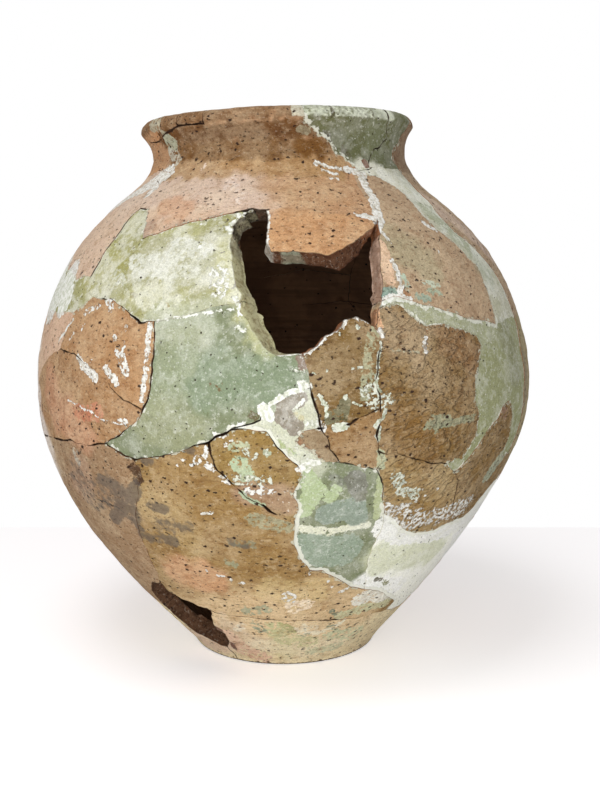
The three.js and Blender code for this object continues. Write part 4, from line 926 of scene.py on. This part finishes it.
def stain(mesh, label, colours):
    layer = mesh.attributes.new(label, "FLOAT_COLOR", "POINT")
    solid = np.hstack([colours, np.ones((len(colours), 1))])
    layer.data.foreach_set("color", solid.astype(np.float32).ravel())


def addMarks(name, piece, data):
    mesh, kind = piece.data, "plaster" if isPlaster[name] else "clay"
    meeting = distances(trees[not isPlaster[name]], data["places"], data["skin"], finish["meetingReach"])
    layers = {"meeting": meeting, **{label: data[label] for label in ("edge", "depth", "opening", "crackShade")}}
    layers.update({label: painted(data, strokes) for label, strokes in marks.items()})
    own = pieceColours.get(name, slotColours[slotOf[name]])
    # This colour holds the tints, among them painted shade under the lip and a painted highlight at the left
    # edge.
    stain(mesh, "pigmentAndPaintedLight", tinted(data, own, plasterTints if isPlaster[name] else clayTints))
    stain(mesh, "core", tinted(data, coreColours[kind], breakTints))
    layers["patch"], patchColour = patched(data, plasterPatches if isPlaster[name] else clayPatches)
    stain(mesh, "patchColour", patchColour)
    for label, values in layers.items():
        mesh.attributes.new(label, "FLOAT", "POINT").data.foreach_set("value", values.astype(np.float32))


for name, (piece, data) in sherds.items():
    addMarks(name, piece, data)
print("marks laid:", {label: len(strokes) for label, strokes in marks.items()})


def add(tree, kind, inputs=None, **settings):
    made = tree.nodes.new("ShaderNode" + kind)
    for key, value in settings.items():
        setattr(made, key, value)
    for key, value in (inputs or {}).items():
        if isinstance(value, bpy.types.NodeSocket):
            tree.links.new(value, made.inputs[key])
        else:
            made.inputs[key].default_value = value
    return made


def mixed(tree, share, under, over, blend="MIX"):
    return add(tree, "Mix", {0: share, 6: under, 7: over}, data_type="RGBA", blend_type=blend).outputs[2]


def maths(tree, operation, first, second):
    return add(tree, "Math", {0: first, 1: second}, operation=operation).outputs[0]


def times(tree, first, second):
    return maths(tree, "MULTIPLY", first, second)


def spread(tree, value, low, high, toLow=0.0, toHigh=1.0):
    inputs = {0: value, 1: low, 2: high, 3: toLow, 4: toHigh}
    return add(tree, "MapRange", inputs, interpolation_type="SMOOTHSTEP").outputs[0]


def grain(tree, place, size, detail=2.0, roughness=0.5):
    # Noise of a grain size in millimetres.
    inputs = {"Vector": place, "Scale": 1000 / size, "Detail": detail, "Roughness": roughness}
    return add(tree, "TexNoise", inputs).outputs["Fac"]


def stretched(tree, place, along):
    return add(tree, "VectorMath", {0: place, 1: along}, operation="MULTIPLY").outputs[0]


socketKinds = {"Vector": "NodeSocketVector", "Color": "NodeSocketColor", "Float": "NodeSocketFloat"}


def shaderGroup(name, inputs, outputs):
    tree = bpy.data.node_groups.new(name, "ShaderNodeTree")
    for label, (kind, value) in inputs.items():
        socket = tree.interface.new_socket(name=label, in_out="INPUT", socket_type=socketKinds[kind])
        if value is not None:
            socket.default_value = value
    for label, kind in outputs.items():
        tree.interface.new_socket(name=label, in_out="OUTPUT", socket_type=socketKinds[kind])
    return tree, tree.nodes.new("NodeGroupInput").outputs, tree.nodes.new("NodeGroupOutput").inputs


def makePores():
    # Small voids where grit and straw burnt out of the clay.
    tree, into, out = shaderGroup("pores", {
        "Place": ("Vector", None), "Spacing": ("Float", 7.0), "Size": ("Float", 0.3),
        "Share": ("Float", 0.6),
    }, {"Mask": "Float"})
    wobble = add(tree, "TexNoise", {"Vector": into["Place"], "Scale": 420, "Detail": 1}).outputs["Color"]
    wobble = add(tree, "VectorMath", {0: wobble, 1: (0.5, 0.5, 0.5)}, operation="SUBTRACT").outputs[0]
    wobble = add(tree, "VectorMath", {0: wobble, "Scale": 0.0035}, operation="SCALE").outputs[0]
    moved = add(tree, "VectorMath", {0: into["Place"], 1: wobble}, operation="ADD").outputs[0]
    scale = maths(tree, "DIVIDE", 1000.0, into["Spacing"])
    cells = add(tree, "TexVoronoi", {"Vector": moved, "Scale": scale})
    parts = add(tree, "SeparateColor", {0: cells.outputs["Color"]}).outputs
    size = times(tree, into["Size"], spread(tree, parts[0], 0, 1, 0.35, 1))
    inner = times(tree, size, 0.55)
    mask = spread(tree, cells.outputs["Distance"], inner, size, 1.0, 0.0)
    present = maths(tree, "LESS_THAN", parts[1], into["Share"])
    tree.links.new(times(tree, mask, present), out["Mask"])
    return tree


def makeSmear():
    # Turns a soft painted mark into a broken, ragged coat.
    tree, into, out = shaderGroup("smear", {
        "Place": ("Vector", None), "Paint": ("Float", 0.0), "Grain": ("Float", 6.0),
        "Feather": ("Float", 0.06),
    }, {"Cover": "Float"})
    scale = maths(tree, "DIVIDE", 1000.0, into["Grain"])
    rough = add(tree, "TexNoise", {"Vector": into["Place"], "Scale": scale, "Detail": 4, "Roughness": 0.6})
    ragged = times(tree, maths(tree, "SUBTRACT", rough.outputs["Fac"], 0.5), 2.4)
    level = maths(tree, "ADD", into["Paint"], ragged)
    low = maths(tree, "SUBTRACT", 0.5, into["Feather"])
    high = maths(tree, "ADD", 0.5, into["Feather"])
    cover = spread(tree, level, low, high)
    there = spread(tree, into["Paint"], 0.02, 0.12)
    tree.links.new(times(tree, cover, there), out["Cover"])
    return tree


pores, smear = makePores(), makeSmear()


def placed(tree, group, values):
    return add(tree, "Group", values, node_tree=group).outputs


def poreMask(tree, place, spacing, size, share):
    values = {"Place": place, "Spacing": spacing, "Size": size, "Share": share}
    return placed(tree, pores, values)["Mask"]


def smeared(tree, place, paint, size, feather=0.06):
    return placed(tree, smear, {"Place": place, "Paint": paint, "Grain": size, "Feather": feather})["Cover"]


def brightness(tree, colour, value):
    tint = add(tree, "CombineColor", {0: value, 1: value, 2: value}).outputs[0]
    return mixed(tree, 1.0, colour, tint, "MULTIPLY")


clayLook = {
    "light": (250, 230, 194), "darker": (0.6, 0.47, 0.36, 1), "void": (58, 38, 26),
    "speck": (240, 234, 220), "rippleTurn": 20,
}


def makeClayBody():
    # Fired clay: cloudy colour, drag marks round the pot, grit, voids and lime specks.
    tree, into, out = shaderGroup("clayBody", {
        "Place": ("Vector", None), "Base": ("Color", rgb(200, 150, 110)), "Voids": ("Float", 1.0),
        "Drag": ("Float", 1.0), "Specks": ("Float", 0.3), "Ripple": ("Float", 0.0),
    }, {"Color": "Color", "Height": "Float"})
    place, base = into["Place"], into["Base"]
    light = mixed(tree, 0.32, base, rgb(*clayLook["light"]))
    dark = mixed(tree, 1.0, base, clayLook["darker"], "MULTIPLY")
    cloud = spread(tree, grain(tree, place, 52, 3, 0.6), 0.4, 0.64, 0, 0.55)
    colour = mixed(tree, cloud, base, light)
    patch = spread(tree, grain(tree, place, 17, 4, 0.7), 0.5, 0.7, 0, 0.55)
    colour = mixed(tree, patch, colour, dark)
    bare = spread(tree, grain(tree, stretched(tree, place, (0.6, 0.6, 1)), 9, 4, 0.7), 0.55, 0.66, 0, 0.5)
    colour = mixed(tree, bare, colour, light)
    mottle = grain(tree, stretched(tree, place, (0.75, 0.75, 1)), 4.2, 3, 0.75)
    colour = mixed(tree, spread(tree, mottle, 0.54, 0.7, 0, 0.75), colour, dark)
    colour = mixed(tree, spread(tree, mottle, 0.46, 0.32, 0, 0.6), colour, light)
    drag = grain(tree, stretched(tree, place, (0.4, 0.4, 1)), 3.4, 2, 0.6)
    furrow = times(tree, spread(tree, drag, 0.5, 0.7), into["Drag"])
    colour = mixed(tree, times(tree, furrow, 0.3), colour, dark)
    fine = grain(tree, place, 1.5, 2, 0.7)
    colour = brightness(tree, colour, spread(tree, fine, 0.3, 0.7, 0.86, 1.12))
    turn = {"Vector": place, "Axis": (0, 1, 0), "Angle": math.radians(clayLook["rippleTurn"])}
    turned = add(tree, "VectorRotate", turn).outputs[0]
    ripple = grain(tree, stretched(tree, turned, (0.42, 0.7, 1)), 6.0, 2, 0.55)
    ripple = times(tree, spread(tree, ripple, 0.38, 0.6), into["Ripple"])
    colour = mixed(tree, times(tree, ripple, 0.22), colour, light)
    flat = stretched(tree, place, (0.72, 0.72, 1.05))
    big = times(tree, poreMask(tree, flat, 5.4, 0.33, 0.5), into["Voids"])
    small = times(tree, poreMask(tree, flat, 3.0, 0.32, 0.4), 0.7)
    void = maths(tree, "MAXIMUM", big, small)
    colour = mixed(tree, void, colour, rgb(*clayLook["void"]))
    speck = poreMask(tree, stretched(tree, place, (1.07, 1.03, 1.11)), 4.6, 0.27, 0.5)
    speck = times(tree, speck, into["Specks"])
    colour = mixed(tree, speck, colour, rgb(*clayLook["speck"]))
    height = maths(tree, "ADD", times(tree, mottle, 1.3), times(tree, fine, 0.25))
    height = maths(tree, "ADD", height, times(tree, ripple, 2.0))
    height = maths(tree, "SUBTRACT", height, times(tree, furrow, 0.35))
    height = maths(tree, "SUBTRACT", height, void)
    height = maths(tree, "ADD", height, times(tree, speck, 0.3))
    tree.links.new(colour, out["Color"])
    tree.links.new(height, out["Height"])
    return tree


plasterLook = {
    "light": (248, 248, 240), "darker": (0.68, 0.68, 0.5, 1), "pinhole": (62, 52, 36),
    "crumb": (244, 244, 236),
}


def makePlasterBody():
    # Tinted plaster, trowelled and rubbed down: blotches, scuffs, pinholes and raised crumbs.
    tree, into, out = shaderGroup("plasterBody", {
        "Place": ("Vector", None), "Base": ("Color", rgb(200, 195, 160)), "Crumbs": ("Float", 0.4),
        "Blotch": ("Float", 1.0),
    }, {"Color": "Color", "Height": "Float"})
    place, base = into["Place"], into["Base"]
    light = mixed(tree, 0.55, base, rgb(*plasterLook["light"]))
    dark = mixed(tree, 1.0, base, plasterLook["darker"], "MULTIPLY")
    cloud = spread(tree, grain(tree, place, 30, 4, 0.65), 0.46, 0.62)
    cloud = times(tree, cloud, into["Blotch"])
    colour = mixed(tree, times(tree, cloud, 0.8), base, light)
    blotch = spread(tree, grain(tree, place, 11, 3, 0.6), 0.53, 0.62)
    blotch = times(tree, blotch, into["Blotch"])
    colour = mixed(tree, times(tree, blotch, 0.7), colour, light)
    patch = spread(tree, grain(tree, place, 14, 4, 0.65), 0.52, 0.68)
    patch = times(tree, patch, into["Blotch"])
    colour = mixed(tree, times(tree, patch, 0.5), colour, dark)
    scuff = spread(tree, grain(tree, place, 4.5, 4, 0.7), 0.54, 0.68, 0, 0.6)
    colour = mixed(tree, scuff, colour, light)
    stain = spread(tree, grain(tree, place, 5.5, 4, 0.75), 0.44, 0.3, 0, 0.6)
    colour = mixed(tree, stain, colour, dark)
    fine = grain(tree, place, 1.6, 3, 0.7)
    colour = brightness(tree, colour, spread(tree, fine, 0.3, 0.7, 0.82, 1.14))
    hole = poreMask(tree, place, 4.9, 0.25, 0.4)
    colour = mixed(tree, hole, colour, rgb(*plasterLook["pinhole"]))
    crumb = poreMask(tree, stretched(tree, place, (1.13, 1.05, 1.2)), 4.6, 0.3, 0.4)
    crumb = times(tree, crumb, into["Crumbs"])
    colour = mixed(tree, crumb, colour, rgb(*plasterLook["crumb"]))
    height = maths(tree, "ADD", grain(tree, place, 5, 4, 0.65), times(tree, fine, 0.3))
    height = maths(tree, "SUBTRACT", height, times(tree, hole, 0.8))
    height = maths(tree, "ADD", height, times(tree, crumb, 0.5))
    tree.links.new(colour, out["Color"])
    tree.links.new(height, out["Height"])
    return tree


clayBody, plasterBody = makeClayBody(), makePlasterBody()


def mark(tree, label):
    return add(tree, "Attribute", attribute_name=label).outputs["Fac"]


def newMaterial(name, roughness):
    material = bpy.data.materials.new(name)
    material.use_nodes = True
    tree = material.node_tree
    shader = tree.nodes["Principled BSDF"]
    shader.inputs["Roughness"].default_value = roughness
    shader.inputs["Specular IOR Level"].default_value = 0.25
    place = add(tree, "TexCoord").outputs["Object"]
    return material, tree, shader, place


def dress(tree, shader, colour, height, distance):
    tree.links.new(colour, shader.inputs["Base Color"])
    bump = add(tree, "Bump", {"Height": height, "Distance": distance * mm, "Strength": 1.0})
    tree.links.new(bump.outputs["Normal"], shader.inputs["Normal"])


clays = {
    "tan_clay": {"Voids": 1.0, "Drag": 1.0, "Specks": 0.15, "Ripple": 0.2},
    "pink_clay": {"Voids": 0.8, "Drag": 0.6, "Specks": 0.15, "Ripple": 0.1},
    "brown_clay": {"Voids": 1.0, "Drag": 0.7, "Specks": 0.15, "Ripple": 1.0},
    "ochre_clay": {"Voids": 1.0, "Drag": 0.4, "Specks": 0.6, "Ripple": 0.3},
    "sooty_clay": {"Voids": 1.0, "Drag": 0.8, "Specks": 0.1, "Ripple": 0.2},
    "pale_clay": {"Voids": 0.8, "Drag": 1.0, "Specks": 0.3, "Ripple": 0.1},
}
plasters = {
    "yellow_green_plaster": {"Crumbs": 0.4, "Blotch": 1.0},
    "blue_green_plaster": {"Crumbs": 0.3, "Blotch": 0.3},
    "white_plaster": {"Crumbs": 0.6, "Blotch": 0.5},
    "grey_green_plaster": {"Crumbs": 0.4, "Blotch": 0.3},
}


# What lies over each skin: its colour, or a thin and a thick one, and how fully it covers.
clayCoats = {
    "roughness": 0.88, "bump": 1.3, "smear": (210, 208, 186), "smearCover": 0.85,
    "soot": (96, 88, 80), "sootCover": 0.7, "sootGrain": 9.0,
    "chalk": ((186, 192, 164), (226, 228, 212)),
    "limeAndGlare": ((212, 207, 194), (242, 240, 233)), "limePits": (116, 104, 94), "dirtAndShade": (62, 42, 28),
}
plasterCoats = {
    "roughness": 0.92, "bump": 1.1, "border": (236, 236, 222), "borderCover": 0.8,
    "soot": (112, 110, 96), "sootCover": 0.8, "sootGrain": 12.0,
    "limeAndGlare": ((214, 216, 198), (244, 244, 236)), "dirtAndShade": (104, 90, 68),
}


def colourOf(tree, label):
    return add(tree, "Attribute", attribute_name=label).outputs["Color"]


# The skin's colour from its tints and patches; on the clay these carry painted shade under the lip, a painted
# highlight at the left edge and a painted shadow round the foot.
def pigmentAndPaintedLightOf(tree, place):
    cover = smeared(tree, place, mark(tree, "patch"), 5.0, 0.1)
    return mixed(tree, cover, colourOf(tree, "pigmentAndPaintedLight"), colourOf(tree, "patchColour"))


def dappled(tree, place, low, high, thinColour, thickColour):
    return mixed(tree, spread(tree, grain(tree, place, 4, 3), low, high), rgb(*thinColour), rgb(*thickColour))


def sooted(tree, place, colour, coats):
    cover = smeared(tree, place, mark(tree, "soot"), coats["sootGrain"], 0.3)
    return mixed(tree, times(tree, cover, coats["sootCover"]), colour, rgb(*coats["soot"]))


def claySkin(slotName):
    coats = clayCoats
    material, tree, shader, place = newMaterial(slotName + "Skin", coats["roughness"])
    body = placed(tree, clayBody, {"Place": place, "Base": pigmentAndPaintedLightOf(tree, place), **clays[slotName]})
    colour, height = body["Color"], body["Height"]
    close = spread(tree, mark(tree, "meeting"), 0.0, 6.0, 0.5, 0.0)
    plastered = smeared(tree, place, close, 6.0)
    smearCover = times(tree, plastered, coats["smearCover"])
    colour = mixed(tree, smearCover, colour, rgb(*coats["smear"]))
    colour = sooted(tree, place, colour, coats)
    chalked = smeared(tree, place, mark(tree, "chalk"), 4.0)
    colour = mixed(tree, chalked, colour, dappled(tree, place, 0.4, 0.6, *coats["chalk"]))
    # The lime marks, which also carry the painted glare at the left edge, in dappled white.
    whiteCoatAndGlare = smeared(tree, place, mark(tree, "limeAndGlare"), 4.0)
    white = dappled(tree, place, 0.42, 0.56, *coats["limeAndGlare"])
    white = mixed(tree, poreMask(tree, place, 3.6, 0.28, 0.5), white, rgb(*coats["limePits"]))
    thin = spread(tree, grain(tree, place, 2.4, 3), 0.33, 0.42, 0.35, 1.0)
    colour = mixed(tree, times(tree, whiteCoatAndGlare, thin), colour, white)
    dirtAndShade = spread(tree, mark(tree, "edge"), 0.2, 1.3, 1.0, 0.0)
    dirtAndShade = times(tree, dirtAndShade, spread(tree, mark(tree, "opening"), 0.15, 0.6, 0.0, 0.8))
    colour = mixed(tree, dirtAndShade, colour, rgb(*coats["dirtAndShade"]))
    coat = maths(tree, "MAXIMUM", maths(tree, "MAXIMUM", whiteCoatAndGlare, chalked), plastered)
    height = maths(tree, "ADD", height, times(tree, coat, 0.6))
    dress(tree, shader, colour, height, coats["bump"])
    return material


def plasterSkin(slotName):
    coats = plasterCoats
    material, tree, shader, place = newMaterial(slotName + "Skin", coats["roughness"])
    body = placed(tree, plasterBody, {"Place": place, "Base": pigmentAndPaintedLightOf(tree, place), **plasters[slotName]})
    colour, height = body["Color"], body["Height"]
    rim = spread(tree, mark(tree, "meeting"), 0.5, 6.0, 0.42, 0.0)
    crust = spread(tree, mark(tree, "meeting"), 2.0, 7.5, 1.0, 0.0)
    crust = times(tree, crust, mark(tree, "crust"))
    rim = maths(tree, "MAXIMUM", rim, crust)
    raised = smeared(tree, place, rim, 7.0)
    borderCover = times(tree, raised, coats["borderCover"])
    colour = mixed(tree, borderCover, colour, rgb(*coats["border"]))
    colour = sooted(tree, place, colour, coats)
    # Lime and chalk marks, and the painted glare at the left edge, in dappled white.
    paint = maths(tree, "MAXIMUM", mark(tree, "limeAndGlare"), mark(tree, "chalk"))
    whiteCoatAndGlare = smeared(tree, place, paint, 4.0)
    colour = mixed(tree, whiteCoatAndGlare, colour, dappled(tree, place, 0.42, 0.58, *coats["limeAndGlare"]))
    dirtAndShade = spread(tree, mark(tree, "edge"), 0.2, 1.2, 1.0, 0.0)
    dirtAndShade = times(tree, dirtAndShade, spread(tree, mark(tree, "opening"), 0.2, 0.7, 0.0, 0.6))
    colour = mixed(tree, dirtAndShade, colour, rgb(*coats["dirtAndShade"]))
    height = maths(tree, "ADD", height, times(tree, maths(tree, "MAXIMUM", whiteCoatAndGlare, raised), 0.5))
    dress(tree, shader, colour, height, coats["bump"])
    return material


fracture = {
    "roughness": 0.95, "bump": 3.0, "darker": (0.5, 0.42, 0.34, 1), "pale": (222, 206, 186),
    "dirtAndShade": (44, 31, 22), "crackShadeCover": 0.85, "pits": (36, 24, 17),
}
insideLook = {
    "roughness": 0.95, "bump": 1.6, "cloud": ((118, 88, 66), (140, 106, 78)), "wheel": (92, 68, 50),
    "pits": (22, 15, 11),
}


def brokenFace(name, darkColour):
    # Rough fracture: each piece's own core colour, greyer in the middle of the wall, pitted, with painted
    # shade where the face lies inside an open crack or joint.
    material, tree, shader, place = newMaterial(name, fracture["roughness"])
    core = colourOf(tree, "core")
    depth = maths(tree, "ADD", mark(tree, "depth"), times(tree, grain(tree, place, 5, 3), 0.3))
    starting, ending = spread(tree, depth, 0.25, 0.5), spread(tree, depth, 0.85, 1.15, 1.0, 0.0)
    middle = times(tree, starting, ending)
    colour = mixed(tree, times(tree, middle, 0.5), core, darkColour)
    patch = spread(tree, grain(tree, place, 5, 4, 0.7), 0.45, 0.62, 0, 0.8)
    colour = mixed(tree, patch, colour, mixed(tree, 1.0, core, fracture["darker"], "MULTIPLY"))
    pale = spread(tree, grain(tree, place, 3.4, 3, 0.7), 0.56, 0.68, 0, 0.26)
    colour = mixed(tree, pale, colour, rgb(*fracture["pale"]))
    # Painted shade: broken faces inside open cracks and joints go dark.
    dirtAndShade = times(tree, mark(tree, "crackShade"), fracture["crackShadeCover"])
    colour = mixed(tree, dirtAndShade, colour, rgb(*fracture["dirtAndShade"]))
    pitted = poreMask(tree, place, 4.0, 0.3, 0.5)
    colour = mixed(tree, pitted, colour, rgb(*fracture["pits"]))
    height = maths(tree, "SUBTRACT", grain(tree, place, 4, 5, 0.7), pitted)
    dress(tree, shader, colour, height, fracture["bump"])
    return material


def insideFace():
    material, tree, shader, place = newMaterial("insideWall", insideLook["roughness"])
    cloud = spread(tree, grain(tree, place, 45, 4, 0.6), 0.4, 0.62)
    colour = mixed(tree, cloud, *(rgb(*shade) for shade in insideLook["cloud"]))
    wheel = grain(tree, stretched(tree, place, (0.06, 0.06, 1)), 6, 2)
    colour = mixed(tree, spread(tree, wheel, 0.45, 0.65, 0, 0.4), colour, rgb(*insideLook["wheel"]))
    pitted = poreMask(tree, place, 8.0, 0.25, 0.4)
    colour = mixed(tree, pitted, colour, rgb(*insideLook["pits"]))
    height = maths(tree, "ADD", grain(tree, place, 8, 4, 0.6), times(tree, wheel, 1.4))
    dress(tree, shader, colour, maths(tree, "SUBTRACT", height, pitted), insideLook["bump"])
    return material


skins = {**{label: claySkin(label) for label in clays}, **{label: plasterSkin(label) for label in plasters}}
brokenFaces = {
    False: brokenFace("brokenClay", rgb(118, 86, 64)),
    True: brokenFace("brokenPlaster", rgb(176, 168, 132)),
}
inside = insideFace()
for name, (piece, _) in sherds.items():
    for material in (skins[slotOf[name]], brokenFaces[isPlaster[name]], inside):
        piece.data.materials.append(material)
print("materials made:", len(bpy.data.materials))

# The camera stands 1.25 m off, as for the photograph, above the belly, and looks down by 8.2 degrees.
view = {"place": (0.019, -1.25, 0.467), "tilt": 81.8, "focalPixels": 1045, "frameHeight": 804, "sensor": 36}
camera = bpy.data.cameras.new("camera")
camera.sensor_width = view["sensor"]
camera.lens = view["focalPixels"] / view["frameHeight"] * view["sensor"]
camera.clip_start, camera.clip_end = 0.05, 30
cameraObject = bpy.data.objects.new("camera", camera)
cameraObject.location = view["place"]
cameraObject.rotation_euler = (math.radians(view["tilt"]), 0, 0)
bpy.context.scene.collection.objects.link(cameraObject)
bpy.context.scene.camera = cameraObject

# Soft room light: a big lamp overhead to the left, weak ones from the right and off the floor, and a sky.
lampAim = Vector((0, 0, 0.32))
room = {"skyStrength": 0.345, "paperStrength": 1.0}
lamps = {
    "keyLamp": {"place": (-0.55, -0.8, 2.5), "size": 1.1, "power": 23.5},
    "rightLamp": {"place": (1.9, -1.2, 1.2), "size": 1.6, "power": 3},
    "groundBounce": {"place": (-0.2, -1.3, 0.06), "size": 1.0, "power": 16},
}
for name, lamp in lamps.items():
    light = bpy.data.lights.new(name, "AREA")
    light.shape, light.size, light.energy = "SQUARE", lamp["size"], lamp["power"]
    lightObject = bpy.data.objects.new(name, light)
    lightObject.location = lamp["place"]
    lightObject.rotation_euler = (lampAim - Vector(lamp["place"])).to_track_quat("-Z", "Y").to_euler()
    lightObject.visible_camera = False
    bpy.context.scene.collection.objects.link(lightObject)

world = bpy.data.worlds.new("room")
bpy.context.scene.world = world
world.use_nodes = True
sky = world.node_tree
light = sky.nodes["Background"]
light.inputs["Color"].default_value = (1, 1, 1, 1)
light.inputs["Strength"].default_value = room["skyStrength"]
paper = add(sky, "Background", {"Color": (1, 1, 1, 1), "Strength": room["paperStrength"]})
rays = add(sky, "LightPath").outputs
mirrored = maths(sky, "MAXIMUM", rays["Is Glossy Ray"], rays["Is Transmission Ray"])
seen = maths(sky, "MAXIMUM", rays["Is Camera Ray"], mirrored)
both = add(sky, "MixShader", {0: seen, 1: light.outputs[0], 2: paper.outputs[0]})
sky.links.new(both.outputs[0], sky.nodes["World Output"].inputs["Surface"])

# A white floor that ends behind the jar and takes its shadow.
ground = {
    "halfWidth": 4.0, "front": -4.0, "back": 0.49, "under": -0.0005, "colour": (0.86, 0.85, 0.85, 1),
    "shadeColour": (0.86, 0.84, 0.86, 1), "glowColour": (1.0, 0.985, 0.97, 1), "glow": 0.46,
}
bm = bmesh.new()
bmesh.ops.create_grid(bm, x_segments=1, y_segments=1, size=1)
middle, halfDepth = (ground["front"] + ground["back"]) / 2, (ground["back"] - ground["front"]) / 2
bmesh.ops.scale(bm, vec=(ground["halfWidth"], halfDepth, 1), verts=bm.verts)
bmesh.ops.translate(bm, vec=(0, middle, ground["under"]), verts=bm.verts)
groundMesh = bpy.data.meshes.new("groundPlane")
bm.to_mesh(groundMesh)
bm.free()
groundPlane = bpy.data.objects.new("groundPlane", groundMesh)
bpy.context.scene.collection.objects.link(groundPlane)
groundMaterial = bpy.data.materials.new("groundPaint")
groundMaterial.use_nodes = True
paint = groundMaterial.node_tree
paint.nodes.remove(paint.nodes["Principled BSDF"])
white = add(paint, "BsdfDiffuse", {"Color": ground["colour"]}).outputs[0]
shaded = add(paint, "BsdfDiffuse", {"Color": ground["shadeColour"]}).outputs[0]
glow = add(paint, "Emission", {"Color": ground["glowColour"], "Strength": ground["glow"]}).outputs[0]
shown = add(paint, "AddShader", {0: shaded, 1: glow}).outputs[0]
ray = add(paint, "LightPath").outputs["Is Camera Ray"]
both = add(paint, "MixShader", {0: ray, 1: white, 2: shown}).outputs[0]
paint.links.new(both, paint.nodes["Material Output"].inputs["Surface"])
groundMesh.materials.append(groundMaterial)

bpy.context.scene.view_settings.view_transform = "Standard"
